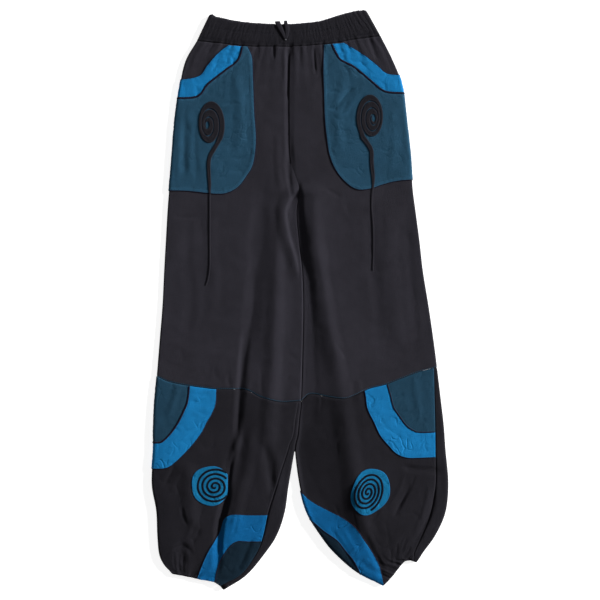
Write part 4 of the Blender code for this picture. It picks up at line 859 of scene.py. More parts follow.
def fill(outline, spacing):
    """Points and triangles that fill an outline, closer together along its edge."""
    area = 0.5 * np.sum(outline[:, 0] * np.roll(outline[:, 1], -1) - outline[:, 1] * np.roll(outline[:, 0], -1))
    way = np.roll(outline, -1, 0) - np.roll(outline, 1, 0)
    inwards = np.sign(area) * np.column_stack([-way[:, 1], way[:, 0]])
    inwards /= np.maximum(np.linalg.norm(inwards, axis=1, keepdims=True), 1e-9)
    points = [outline]
    for ring in RINGS:
        candidates = outline + ring * inwards
        if ring > 1:
            candidates = candidates[::2]
        away, _, inside = to_outline(candidates, outline)
        points.append(candidates[inside & (away > 0.93 * ring)])
    low, high = outline.min(0), outline.max(0)
    rows = np.arange(low[1], high[1], spacing * 0.866)
    starts = [np.arange(low[0] + (k % 2) * spacing / 2, high[0], spacing) for k in range(len(rows))]
    grid = np.concatenate([np.column_stack([x, np.full_like(x, y)]) for x, y in zip(starts, rows)])
    away, _, inside = to_outline(grid, outline)
    points.append(grid[inside & (away > RINGS[-1] + 0.55 * spacing)])
    points = np.concatenate(points)
    loop = list(range(len(outline)))
    found, _, faces, _, _, _ = delaunay_2d_cdt([Vector(p) for p in points], [], [loop], 1, 1e-5)
    return np.array([tuple(p) for p in found]), np.array(faces), abs(area)


def patch(name, panel, outline, look, lift=None, thick=PATCH, spacing=2.4, stitch=2.0, round_off=0.9, turned=0,
          crisp=1.0):
    """A piece sewn on a panel: cut to its outline in the flat cloth, laid on the panel, its edge turned under."""
    leg = panel.leg
    outline = unrolled(panel, outline, (panel.v[0] + 0.004, panel.v[-1]))
    flat, faces, area = fill(outline, spacing)
    away, run, _ = to_outline(flat, outline)
    edge = away < 1e-3
    across, down = flat.T
    v = leg.section(down)
    lift = lift(v, across) if lift else SEAM_GAP
    rise = thick * np.sqrt(1 - (1 - np.clip(away / round_off, 0, 1)) ** 2)
    if stitch:
        rise -= STITCH_DIP * bell(away - stitch, 0.75)
        rise += 0.16 * np.sin(run / 1.25 + 2 * cloud(across, down, 11, 31)) * bell(away - 2.5, 2.2)
    if turned:
        rise += 0.35 * ease((away - 0.4) / 1.2) * ease((turned - away) / 1.1) - 0.2 * bell(away - turned, 0.8)
    shrink = ease((away - 0.6) / 2.5)
    rise -= crisp * CRUSH * shrink * (crush(across, down, 15, 51) + 0.8 * crush(across, down, 8.5, 53))
    rise += 0.6 * (crisp - 1) * shrink * (0.5 - np.abs(cloud(across + 0.6 * down, down - 0.6 * across, 10, 59)))
    rise += 0.3 * CRUSH * shrink * cloud(across, down, 6, 57)
    rise[edge] = 0
    top, facing = panel.at(v, across, lift + rise)
    base = top - rise[:, None] * facing
    below = np.full(len(flat), -1)
    below[~edge] = len(flat) + np.arange((~edge).sum())
    below[edge] = np.flatnonzero(edge)
    corner = flat[faces]
    turn = np.cross(corner[:, 1] - corner[:, 0], corner[:, 2] - corner[:, 0])
    faces = np.where((turn * leg.sign > 0)[:, None], faces[:, ::-1], faces)
    points = np.concatenate([top, base[~edge]])
    points[:, 2] = np.maximum(points[:, 2], OFF_FLOOR)
    every = np.concatenate([faces, below[faces][:, ::-1]])
    uv = np.concatenate([flat, flat[~edge]])
    wear = bell(away, 1.5) + 0.55 * ease((turned - away) / 1.2)
    made = new_object(name, points, every, look, uv, np.concatenate([wear, wear[~edge]]))
    size = flat.max(0) - flat.min(0)
    if area < 0.5 * size[0] * size[1]:  # a strip, so its length runs along its own middle
        length = np.linalg.norm(outline - np.roll(outline, 1, 0), axis=1).sum() / 2
        size = (max(1.2 * area / length, LEAST_STRIP), length)
    sew(made, size, area)


def trails(panel, line, step=1.2, keep=None):
    """The stretches of a line as laid that lie on a panel, as places (v, a) on it."""
    line = spaced(np.asarray(line, float), step, closed=False)
    v, a = panel.leg.places(line)
    low, high = panel.shown(v)
    on = (a > low) & (a < high) & (v > panel.v[0]) & (v < panel.v[-1])
    if keep is not None:
        on &= keep(line)
    breaks = np.flatnonzero(np.diff(on.astype(int))) + 1
    return [(v[run], a[run]) for run in np.split(np.arange(len(v)), breaks) if on[run[0]] and len(run) > 4]


def tube(count, sides, first=0):
    """The points' numbers in a bar of rings, and the faces round it."""
    number = first + np.arange(count * sides).reshape(count, sides)
    after = np.roll(number, -1, axis=1)
    return number, np.stack([number[:-1], number[1:], after[1:], after[:-1]], axis=-1).reshape(-1, 4)


def ridge(name, panel, line, width, height, lift, look, keep=None, sides=9):
    """A raised line on a panel, such as piping: a rounded bar that follows a line as laid."""
    points, faces, uvs, first = [], [], [], 0
    for v, a in trails(panel, line, keep=keep):
        centre, facing = panel.at(v, a, np.full(len(v), lift))
        side = unit(np.cross(facing, unit(np.gradient(centre, axis=0))))
        run = run_of(centre)
        from_end = np.clip(np.minimum(run, run[-1] - run) / (width / 2), 0, 1)
        ends = np.sqrt(np.clip(1 - (1 - from_end) ** 2, 0.02, 1))[:, None]
        around = [(math.cos(t) * width / 2, math.sin(t) * height) for t in np.linspace(0, math.pi, sides)]
        rings = np.stack([centre + ends * (x * side + z * facing) for x, z in around], axis=1)
        number, walls = tube(len(v), sides, first)
        faces += [*walls[:, [0, 3, 2, 1]].tolist(), number[0, ::-1].tolist(), number[-1].tolist()]
        uv = np.stack(np.meshgrid(run, np.arange(sides) * width / sides, indexing="ij"), axis=-1)
        points.append(rings.reshape(-1, 3))
        uvs.append(uv.reshape(-1, 2))
        first += len(v) * sides
    points = np.concatenate(points)
    points[:, 2] = np.maximum(points[:, 2], OFF_FLOOR)
    fasten(new_object(name, points, faces, look, np.concatenate(uvs)))


def seam_roll(name, line, size):
    """The seam between two panels: a thin roll of their turned-in cloth, along a line of points."""
    line = curve(spaced(np.asarray(line, float), 4.0, closed=False), 2)
    way = unit(np.gradient(line, axis=0))
    side = unit(np.cross(way, [0, 0, 1]))
    up = np.cross(side, way)
    turn = np.linspace(0, 2 * math.pi, 9)[:-1]
    half = size / 2 * (1 + 0.12 * np.sin(np.arange(len(line)) * 1.9))[:, None]
    rings = np.stack([line + half * (math.cos(t) * side + 0.8 * math.sin(t) * up) for t in turn], axis=1)
    number, walls = tube(len(line), len(turn))
    faces = [*walls[:, ::-1].tolist(), number[0].tolist(), number[-1, ::-1].tolist()]
    rings[..., 2] = np.maximum(rings[..., 2], OFF_FLOOR)
    uv = np.stack(np.meshgrid(np.arange(len(line)) * 2.0, np.arange(8) * 0.3, indexing="ij"), axis=-1)
    fasten(new_object(name, rings.reshape(-1, 3), faces, look_of("trim"), uv.reshape(-1, 2)))


def band_points(share, turn, height, out):
    """Points of the waistband. turn is 1 on the front, -1 on the back and between them round an end; height
    runs from the seam to the top edge, and out is the distance from the inner face."""
    left, right = LEGS.values()
    section, front = np.zeros_like(share), (turn + 1) / 2
    from_left = left.plan(np.clip(share / BAND_MIDDLE, 0, 1), section, front)
    from_right = right.plan(np.clip((1 - share) / (1 - BAND_MIDDLE), 0, 1), section, front)
    low = np.where((share < BAND_MIDDLE)[..., None], from_left, from_right) + [0, SEAM_GAP]
    top_x, top_y = np.transpose(BAND_TOP)
    x = top_x[0] + share * (top_x[-1] - top_x[0])
    top = np.stack([x, smooth(top_y, np.interp(x, top_x, range(len(top_x))))], axis=-1)
    radius = BAND_ROLL - BAND_WALL + out
    x, y = np.moveaxis(low * (1 - height)[..., None] + top * height[..., None], -1, 0)
    x = x + np.where(share > BAND_MIDDLE, radius, -radius) * np.cos(turn * math.pi / 2)
    return np.stack([x, y, BAND_ROLL + radius * np.sin(turn * math.pi / 2)], axis=-1)


def ring_faces(columns, rows):
    """Faces of a lattice that closes on itself both ways."""
    number = np.arange(columns * rows).reshape(columns, rows)
    beside, above = np.roll(number, -1, axis=0), np.roll(number, -1, axis=1)
    return np.stack([number, beside, np.roll(beside, -1, axis=1), above], axis=-1).reshape(-1, 4)


def waistband_mesh():
    """The gathered casing: share across and turn round it by columns, and its profile by rows."""
    end = BAND_ROLL / (SECTIONS[0].right_outer[0] - SECTIONS[0].left_outer[0])
    across, behind, ends = 12 * BAND_GATHERS, 6 * BAND_GATHERS, 8
    ring = [(end + (1 - 2 * end) * k / across, 1.0) for k in range(across + 1)]
    ring += [(1 - end, 1 - 2 * k / ends) for k in range(1, ends)]
    ring += [(1 - end - (1 - 2 * end) * k / behind, -1.0) for k in range(behind + 1)]
    ring += [(end, -1 + 2 * k / ends) for k in range(1, ends)]
    profile = [(h, BAND_WALL) for h in np.linspace(0, 0.93, 22)]
    profile += [(0.93 + 0.07 * math.sin(t), 1.1 + 1.1 * math.cos(t)) for t in np.linspace(0.25, math.pi - 0.25, 9)]
    profile += [(h, 0.0) for h in (0.93, 0.8, 0.6, 0.4, 0.2, 0.0)]
    profile += [(0.0, 0.7), (0.0, 1.5)]
    share, turn = np.array(ring).T
    height, out = np.array(profile).T
    share, height = np.meshgrid(share, height, indexing="ij")
    turn, out = np.repeat(turn[:, None], len(profile), 1), np.tile(out, (len(ring), 1))
    front = turn > -0.5
    along, up = share * BAND_FRONT, height * BAND_HEIGHT
    lean = 0.42 * cloud(along, up * 0.7, 16, 41) + 0.5 * cloud(along, up * 0.25, 24, 43)
    wave = np.abs(np.sin(math.pi * (BAND_GATHERS * share + lean)))
    broad = 1.5 * wave**0.6 - 1.1
    pleat = 1 - 2.4 * np.abs(cloud(along * 1.35, up * 0.22, 6.5, 47))
    pinch = 1 - 2.2 * np.abs(cloud(along * 1.6, up * 0.3, 4.2, 49))
    strength = 0.55 + 0.45 * cloud(along, up, 22, 45)
    rows = [np.abs(height - at) * BAND_HEIGHT for at in BAND_STITCHES]
    stitched = sum(bell(row, 1.2) for row in rows)
    near = sum(np.exp(-row / 7) for row in rows) + 0.7 * ease((height - 0.75) / 0.2)
    gather = GATHER_DEPTH * (0.34 * strength * broad + (0.1 + 0.2 * near) * pleat + 0.12 * near * pinch - 0.1)
    gather = np.where(turn > 0.99, gather, np.where(turn < -0.99, np.minimum(gather - 0.45, 0), 0.1 * gather))
    above = np.clip((height - BAND_STITCHES[0]) / (1 - BAND_STITCHES[0]), 0, 1)
    puffed = 0.45 * np.sin(math.pi * above) - 0.45 * stitched
    point = band_points(share, turn, height, out)
    outside = out / BAND_WALL * ease((height + 0.02) / 0.1)
    lifted = outside * (gather + puffed * front)
    point[..., 2] += np.where(turn < 0, np.where(turn < -0.99, -lifted, 0), lifted)
    top = ease((height - 0.8) / 0.2)
    point[..., 1] += top * (0.9 * gather * (turn > 0) + 0.35 * np.sin(share * 431))
    left, right = LEGS.values()
    x, y = point[..., 0], point[..., 1]
    on_left = left.front(np.clip(share / BAND_MIDDLE, 0, 1), 0 * share, x, y)
    on_right = right.front(np.clip((1 - share) / (1 - BAND_MIDDLE), 0, 1), 0 * share, x, y)
    seat = np.where(share < BAND_MIDDLE, on_left, on_right) + 0.25
    drawn = ease(1 - height / 0.24) * (turn > 0.99)
    point[..., 2] += drawn * (seat - (BAND_WALL - out) - point[..., 2])
    pressed = ease(1.5 - np.abs(point[..., 0] - CORDS_X) / 15) * ease((height - 0.25) / 0.2) * (turn > 0)
    over = point[..., 2] - (PRESSED_TO - (BAND_WALL - out))
    point[..., 2] -= pressed * 0.5 * (over + np.sqrt(over**2 + 0.3))
    point[..., 2] = np.maximum(point[..., 2], 0)
    faces = ring_faces(*share.shape)
    around = np.repeat(run_of(point[:, 0])[:, None], share.shape[1], 1)
    uv = np.stack([around, height * 45 + (BAND_WALL - out)], axis=-1)
    wear = bell(height - 1, 0.06) * (out > 0.2)
    return point.reshape(-1, 3), faces, uv.reshape(-1, 2), wear.reshape(-1)


def flat_cord(name, path, look):
    """A flat braided cord along a path of (x, y, z, width), with its middle line."""
    path = curve(path, 10)
    side = np.array([1.0, 0.0, 0.0])
    up = unit(np.cross(side, unit(np.gradient(path[:, :3], axis=0))))
    half, run = path[:, 3:] / 2, run_of(path[:, :3])
    rings = []
    for turn in np.linspace(0, 2 * math.pi, 21)[:-1]:
        x, z = math.cos(turn), math.sin(turn)
        wide = math.copysign(abs(x) ** 0.6, x)
        rib = 1 + 0.12 * math.cos(3 * math.pi * wide)
        braid = 0.09 * np.sin(run * 2 * math.pi / 2.1 + 3.2 * abs(wide))[:, None]
        rings.append(path[:, :3] + wide * half * side + z * (DRAWSTRING_THICK / 2 * rib + braid) * up)
    rings = np.stack(rings, axis=1)
    number, walls = tube(*rings.shape[:2])
    faces = [*walls.tolist(), number[0].tolist(), number[-1, ::-1].tolist()]
    uv = np.stack(np.meshgrid(run, np.arange(rings.shape[1]) * 0.5, indexing="ij"), axis=-1)
    made = new_object(name, rings.reshape(-1, 3), faces, look, uv.reshape(-1, 2))
    return made, path[:, :3], run[-1]


class Wire:
    """A shader socket in an expression: adding, multiplying and so on builds the Math nodes."""

    def __init__(self, shader, socket):
        self.shader, self.socket = shader, socket

    def math(self, operation, *values):
        return self.shader.node("Math", {"operation": operation}, dict(enumerate(values)))

    def size(self):
        return self.math("ABSOLUTE", self)

    def wave(self):
        return self.math("SINE", self)

    def held(self):
        """The value kept between 0 and 1."""
        return self.math("MINIMUM", self.math("MAXIMUM", self, 0.0), 1.0)

    def __add__(self, other):
        return self.math("ADD", self, other)

    def __sub__(self, other):
        return self.math("SUBTRACT", self, other)

    def __rsub__(self, other):
        return self.math("SUBTRACT", other, self)

    def __mul__(self, other):
        return self.math("MULTIPLY", self, other)

    def __truediv__(self, other):
        return self.math("DIVIDE", self, other)

    def __pow__(self, other):
        return self.math("POWER", self, other)

    __radd__, __rmul__ = __add__, __mul__


class Shader:
    """A material's nodes, built one expression at a time."""

    def __init__(self, name, **constants):
        self.material = bpy.data.materials.new(name)
        self.material.use_nodes = True
        self.tree = self.material.node_tree
        self.surface = self.tree.nodes["Principled BSDF"]
        for socket, value in constants.items():
            self.surface.inputs[socket.replace("_", " ")].default_value = value

    def node(self, kind, settings=None, inputs=None, output=0):
        made = self.tree.nodes.new("ShaderNode" + kind)
        for setting, value in (settings or {}).items():
            if setting == "stops":
                ramp = made.color_ramp.elements
                while len(ramp) < len(value):
                    ramp.new(0.5)
                for stop, (place, grey) in zip(ramp, value):
                    stop.position, stop.color = place, (grey, grey, grey, 1)
            else:
                setattr(made, setting, value)
        for socket, value in (inputs or {}).items():
            if isinstance(value, Wire):
                self.tree.links.new(value.socket, made.inputs[socket])
            else:
                made.inputs[socket].default_value = value
        return Wire(self, made.outputs[output])

    def noise(self, at, scale, detail=2.0, roughness=0.5):
        settings = {"noise_dimensions": "3D"}
        return self.node("TexNoise", settings, {"Vector": at, "Scale": scale, "Detail": detail, "Roughness": roughness})

    def stretched(self, at, scale):
        return self.node("Mapping", {}, {"Vector": at, "Scale": scale})

    def blend(self, factor, first, second):
        node = self.tree.nodes.new("ShaderNodeMix")
        node.data_type, node.clamp_factor = "RGBA", True
        for socket, value in ((node.inputs[0], factor), (node.inputs[6], first), (node.inputs[7], second)):
            if isinstance(value, Wire):
                self.tree.links.new(value.socket, socket)
            else:
                socket.default_value = value
        return Wire(self, node.outputs[2])

    def finish(self, colour, bump, distance, roughness=None):
        normal = self.node("Bump", {}, {"Strength": 1.0, "Distance": distance, "Height": bump})
        for socket, wire in (("Base Color", colour), ("Normal", normal), ("Roughness", roughness)):
            if wire is not None:
                self.tree.links.new(wire.socket, self.surface.inputs[socket])
        return self.material


def rgba(colour, times=1.0):
    return (*(min(1.0, part * times) for part in colour), 1)


def cotton(name, colour, worn, thread, creased):
    """Plain-woven, garment-washed cotton: uneven threads, faded clouds, and paler turned edges."""
    shader = Shader(name, Roughness=0.9, Sheen_Weight=0.02, Sheen_Roughness=0.45,
                    Sheen_Tint=(*(0.5 + 0.5 * part for part in colour), 1), Specular_IOR_Level=0.08)
    cloth = shader.node("UVMap", {"uv_map": "cloth"})
    wander = shader.noise(cloth, 260.0, 1.0) - 0.5
    across = shader.noise(shader.stretched(cloth, (70.0, 1900.0, 1)), 1.0, 1.0)
    along = shader.noise(shader.stretched(cloth, (1900.0, 70.0, 1)), 1.0, 1.0)
    split = shader.tree.nodes.new("ShaderNodeSeparateXYZ")
    shader.tree.links.new(cloth.socket, split.inputs[0])
    u, v = (Wire(shader, split.outputs[k]) for k in (0, 1))
    turns = math.pi / (thread * MM)
    weave = (u * turns + wander * 1.2).wave() * (v * turns + wander * 1.2).wave()
    slub = across + along
    patchy = shader.noise(cloth, 16.0, 3.0, 0.6)
    fleck = shader.noise(cloth, 900.0, 2.0, 0.7)
    edge = shader.node("Attribute", {"attribute_name": "wear"}, output=2)
    rubbed = edge * (0.35 + 0.9 * fleck)
    tone = 0.5 + 0.55 * (slub - 1.0) + 0.9 * (patchy - 0.5) + 0.5 * (fleck - 0.5) + 0.07 * weave
    body = shader.blend(tone, rgba(colour, 0.72), rgba(colour, 1.34))
    made = shader.blend(rubbed, body, rgba(worn))
    bump = 0.35 * weave + 0.5 * slub + 0.6 * shader.noise(cloth, 330.0, 2.0)
    bend = shader.noise(shader.stretched(cloth, (64.0, 50.0, 1)), 1.0, 1.0, 0.4) - 0.5
    where = ((shader.noise(cloth, 27.0, 1.0) - 0.53) * 9.0).held()
    line = (1.0 - bend.size() * 15.0).held() * where
    bump = bump - (4.2 * creased) * line
    return shader.finish(made, bump, 0.00035, roughness=0.93 - 0.12 * fleck)


def thread_look(name, colour):
    """Twisted sewing thread."""
    shader = Shader(name, Roughness=0.8, Sheen_Weight=0.02, Specular_IOR_Level=0.08)
    fleck = shader.noise(shader.node("TexCoord", {}, output=3), 2400.0, 2.0)
    return shader.finish(shader.blend(fleck, rgba(colour, 0.6), rgba(colour, 1.5)), fleck, 0.0002)


# The cotton looks: the material's name, the colour setting or colour it starts from and what it is multiplied by,
# the same for its worn edges, the size of its threads and how creased it is.
Cotton = namedtuple("Cotton", "name colour share worn worn_share thread creased", defaults=(0.45, 0.1))
COTTONS = {
    "black": Cotton("washed black cotton", "black", 1, "black", 2.1),
    "calf": Cotton("black cotton of the lower legs", "black", 0.58, "black", 1.6),
    "band": Cotton("black cotton of the waistband", "black", 0.58, "black", 1.4),
    "teal": Cotton("petrol cotton", "teal", 1, "teal", 1.5, creased=0.35),
    "deep": Cotton("deep petrol cotton", "deep_teal", 1, "deep_teal", 1.5),
    "blue": Cotton("bright blue cotton", "blue", 1, "blue", 1.25, creased=0.6),
    "disc blue": Cotton("blue cotton of the shin discs", (0.0044, 0.112, 0.237), 1, "blue", 0.9, creased=0.6),
    "hem blue": Cotton("blue cotton of the hem bands", (0.002, 0.086, 0.235), 1, "blue", 0.8, creased=0.6),
    "knee teal": Cotton("petrol cotton of the knees", "teal", 0.79, "teal", 1.2, creased=0.35),
    "trim": Cotton("black applique cotton", "black", 0.55, "black", 1),
    "cord": Cotton("braided black cord", "black", 0.8, "black", 1, thread=0.9),
    "piping": Cotton("plum black piping", (0.0085, 0.0065, 0.0150), 1, (0.014, 0.012, 0.02), 1),
}
THREADS = {
    "dark thread": ("dark thread", (0.004, 0.005, 0.010)),
    "spiral thread": ("navy black thread", (0.0012, 0.0028, 0.0075)),
    "pale thread": ("pale grey thread", (0.13, 0.13, 0.15)),
    "teal thread": ("petrol thread", (0.022, 0.075, 0.125)),
}
LOOKS = {}  # the materials made so far


def look_of(name):
    """The material of this name, made once from the cloth's settings."""

    def mixed(colour, share):
        if isinstance(colour, str):
            colour = getattr(bpy.context.scene.trouser_cloth, colour)
        return [part * share for part in colour]

    if name not in LOOKS and name in THREADS:
        LOOKS[name] = thread_look(*THREADS[name])
    elif name not in LOOKS:
        kind = COTTONS[name]
        LOOKS[name] = cotton(kind.name, mixed(kind.colour, kind.share), mixed(kind.worn, kind.worn_share), kind.thread,
                             kind.creased)
    return LOOKS[name]


def colour_setting(name, description, default):
    return FloatVectorProperty(
        name=name, description=description, subtype="COLOR", size=3, min=0, max=1, default=default
    )


class ClothSettings(bpy.types.PropertyGroup):
    """The cloth's sizes and colours."""

    wall: FloatProperty(
        name="Panel thickness", description="Thickness of a panel's cloth", default=0.0009, min=0.0003, unit="LENGTH"
    )
    black: colour_setting("Black cotton", "Colour of the panels", (0.0200, 0.0188, 0.0250))
    teal: colour_setting("Petrol cotton", "Colour of the pockets and knee corners", (0.0140, 0.0515, 0.0900))
    deep_teal: colour_setting(
        "Deep petrol cotton", "Colour of the corner patches at the hems", (0.0042, 0.0128, 0.0225)
    )
    blue: colour_setting("Blue cotton", "Colour of the trims and the knee bands", (0.0060, 0.1430, 0.3480))


class StageSettings(bpy.types.PropertyGroup):
    """The camera, the floor and the lights."""

    lens: FloatProperty(
        name="Lens", description="Focal length of the camera", default=85, min=20, max=300, unit="CAMERA"
    )
    view_width: FloatProperty(
        name="Width in view", description="How much of the floor the picture takes in", default=1.062, min=0.2,
        unit="LENGTH"
    )
    key: FloatProperty(
        name="Key light", description="Strength of the soft light from the right", default=7.4, min=0
    )
    key_height: FloatProperty(
        name="Key light's height", description="How high above the floor the key light stands",
        default=math.radians(22), min=0.1, max=1.5, subtype="ANGLE"
    )
    overhead: FloatProperty(
        name="Overhead light", description="Power of the large light above", default=7, min=0, unit="POWER"
    )
    sky: FloatProperty(
        name="Room light", description="Strength of the even light from all around", default=0.14, min=0
    )


class TROUSERS_OT_panels(bpy.types.Operator):
    """Make the eight panels of the legs, front and back, above and below the knee"""

    bl_idname = "trousers.panels"
    bl_label = "Panels"

    def execute(self, context):
        wall = context.scene.trouser_cloth.wall / MM
        for side, part, face in product(LEGS, ("upper", "lower"), ("front", "back")):
            panel = panel_of(side, part, face)
            points, faces = shell(panel.point - wall * panel.facing, panel.point)
            if LEGS[side].sign < 0:
                faces = faces[:, ::-1]
            uv = np.stack([panel.a, panel.down], axis=-1).reshape(-1, 2)
            wear = 0.1 * bell(panel.seam, 1.6).reshape(-1)
            look = look_of("black" if part == "upper" else "calf")
            made = new_object(f"look_{part}_{face}_{side}", points, faces, look, np.tile(uv, (2, 1)),
                              np.concatenate([wear, 0 * wear]))
            widths = panel.a[:, -1] - panel.a[:, 0]
            area = float((widths[1:, None] * np.diff(panel.down, axis=0)[:, :1]).sum())
            sew(made, (widths.max(), np.ptp(panel.down)), area)
        return {"FINISHED"}


class TROUSERS_OT_seams(bpy.types.Operator):
    """Close the waist seam, the centre front seam and the inside leg with the roll of cloth in each"""

    bl_idname = "trousers.seams"
    bl_label = "Seams"

    def execute(self, context):
        left, right = LEGS.values()
        waist = []
        for leg, u in ((left, np.linspace(0.03, 0.999, 130)), (right, np.linspace(0.999, 0.03, 150))):
            v = np.zeros_like(u)
            x, y = leg.plan(u, v).T
            waist.append(np.stack([x, y + SEAM_GAP / 2, leg.front(u, v, x, y) - 1.3], axis=-1))
        seam_roll("seam_waist", np.concatenate(waist), 1.9)
        seams = (("seam_centre", 0.0, CROTCH, 1.7, 1.5), ("seam_inside_leg", CROTCH, HEM, 1.3, 0.4))
        for name, first, last, size, sunk in seams:
            v = np.linspace(first, last, 400)
            edge, other = left.point(v, left.length(v)), right.point(v, right.length(v))
            v = v[other[:, 0] - edge[:, 0] < 1.2]
            middle = (left.point(v, left.length(v)) + right.point(v, right.length(v))) / 2
            seam_roll(name, middle - [0, 0, sunk], size)
        return {"FINISHED"}


class TROUSERS_OT_waistband(bpy.types.Operator):
    """Make the gathered waistband over its elastic"""

    bl_idname = "trousers.waistband"
    bl_label = "Waistband"

    def execute(self, context):
        points, faces, uv, wear = waistband_mesh()
        made = new_object("look_waistband", points, faces, look_of("band"), uv, wear)
        around = 2 * (SECTIONS[0].right_outer[0] - SECTIONS[0].left_outer[0]) * BAND_FULLNESS
        sew(made, (around, BAND_CUT), around * BAND_CUT)
        return {"FINISHED"}


class TROUSERS_OT_drawstring(bpy.types.Operator):
    """Make the two ends of the flat drawstring"""

    bl_idname = "trousers.drawstring"
    bl_label = "Drawstring"

    def execute(self, context):
        for side, path in CORDS:
            made, middle, length = flat_cord("look_drawstring_" + side, path, look_of("cord"))
            fasten(made)
            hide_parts("drawstring_" + side)
            tuple(float(c) * MM for c in middle[0])
            [tuple(float(c) * MM for c in point) for point in middle[::3]]
        x, y, z, size = EYELET
        circles = (np.linspace(0, 2 * math.pi, count + 1)[:-1] for count in (48, 8))
        turn, round_it = np.meshgrid(*circles, indexing="ij")
        bound = 0.5 + 0.1 * np.cos(16 * turn)
        reach = size + bound * np.cos(round_it)
        points = np.stack([x + reach * np.cos(turn), y + reach * np.sin(turn), z + bound * np.sin(round_it)], axis=-1)
        uv = np.stack([turn * size, round_it], axis=-1).reshape(-1, 2)
        eyelet = new_object("eyelet", points.reshape(-1, 3), ring_faces(*turn.shape), look_of("pale thread"), uv)
        fasten(eyelet)
        return {"FINISHED"}


POCKETS = {
    "left": (LEFT_POCKET, LEFT_MOUTH_LOW, LEFT_MOUTH_HIGH, -1),
    "right": (RIGHT_POCKET, RIGHT_MOUTH_LOW, RIGHT_MOUTH_HIGH, 1),
}
POCKET_HEM = 6.4  # width of a pocket's turned-in edge
EDGE_STITCH = 2.0  # how far inside an edge its stitches run


def pocket_outline(side):
    """A pocket's outline as laid, with its slanting mouth a seam's gap below the trim."""
    edge, low, _, way = POCKETS[side]
    return np.concatenate([curve(edge), offset(curve(low), -SEAM_GAP * way)])


class TROUSERS_OT_pockets(bpy.types.Operator):
    """Make the patch pockets and the trim along their mouths"""

    bl_idname = "trousers.pockets"
    bl_label = "Pockets"

    def execute(self, context):
        for side, (_, low, high, _) in POCKETS.items():
            panel = panel_of(side, "upper")
            patch("look_pocket_" + side, panel, pocket_outline(side), look_of("teal"), turned=POCKET_HEM)
            patch("look_mouth_trim_" + side, panel, between(low, high), look_of("blue"), crisp=2.0)
        return {"FINISHED"}


def coil_outline(coil):
    """A flat strip wound into an oval, with its tail: one outline, out along one edge and back along the other."""
    turned = np.linspace(0, (1 - COIL_HOLE - 0.02) / coil.pitch, 230)
    angle = math.radians(coil.start) + coil.turn * 2 * math.pi * turned
    way = np.column_stack([coil.half_x * np.cos(angle), coil.half_y * np.sin(angle)])

    def edge(size):
        return np.array(coil.centre) + (1 - size)[:, None] * np.array(coil.drift) + size[:, None] * way

    size = 1 - coil.pitch * turned
    outer_edge, inner_edge = edge(size), edge(np.maximum(size - coil.pitch + COIL_THREAD, COIL_HOLE))
    tail = curve(coil.tail, 10)
    side = coil.turn * sideways(tail[:, :2])
    left, right = (tail[:, :2] + s * side * tail[:, 2:] / 2 for s in (1, -1))
    return np.concatenate([right[::-1], inner_edge, outer_edge[::-1], left])


class TROUSERS_OT_coils(bpy.types.Operator):
    """Make the strips wound into ovals on the pockets, with their hanging tails"""

    bl_idname = "trousers.coils"
    bl_label = "Wound strips"

    def execute(self, context):
        for coil in COILS:
            panel = panel_of(coil.side, "upper")
            pocket = unrolled(panel, pocket_outline(coil.side), (panel.v[0] + 0.004, 10))

            def lift(v, a, panel=panel, pocket=pocket):
                away, _, inside = to_outline(np.column_stack([a, panel.leg.down(v)]), pocket)
                return SEAM_GAP + (PATCH + SEAM_GAP) * ease((np.where(inside, away, -away) + 1.2) / 2.4)

            patch("look_pocket_coil_" + coil.side, panel, coil_outline(coil), look_of("trim"), lift,
                  thick=0.9, spacing=1.8, stitch=0, round_off=0.7)
        return {"FINISHED"}


class TROUSERS_OT_knees(bpy.types.Operator):
    """Make the quarter patches at the knees and the bands that curve round them"""

    bl_idname = "trousers.knees"
    bl_label = "Knee patches"

    def execute(self, context):
        knees = (("left", LEFT_KNEE_INNER, LEFT_KNEE_OUTER, -1, (-275.0, -100.0)),
                 ("right", RIGHT_KNEE_INNER, RIGHT_KNEE_OUTER, 1, (262.0, -90.0)))
        for side, inner, outer, way, corner in knees:
            panel = panel_of(side, "lower")
            quarter = np.concatenate([offset(curve(inner), SEAM_GAP * way), np.array([corner])])
            patch("look_knee_quarter_" + side, panel, quarter, look_of("knee teal"))
            patch("look_knee_band_" + side, panel, between(inner, outer), look_of("blue"))
        return {"FINISHED"}


def disc_outline(disc):
    """A hand-cut round patch, slightly uneven, cut straight where a crease hides its side."""
    angles = np.linspace(0, 2 * math.pi, 181)[:-1]
    uneven = 1 + 0.025 * np.sin(3 * angles + 0.6) + 0.02 * np.cos(5 * angles)
    x, y = disc.half_x * np.cos(angles) * uneven, disc.half_y * np.sin(angles) * uneven
    outline = tilted(x, y, disc.tilt, disc.centre)
    outline[:, 0] = np.minimum(outline[:, 0], disc.crease_x)
    return outline


class TROUSERS_OT_discs(bpy.types.Operator):
    """Make the round shin patches"""

    bl_idname = "trousers.discs"
    bl_label = "Round patches"

    def execute(self, context):
        for disc in DISCS:
            panel = panel_of(disc.side, "lower")
            patch("look_shin_disc_" + disc.side, panel, disc_outline(disc), look_of("disc blue"),
                  spacing=2.0)
        return {"FINISHED"}


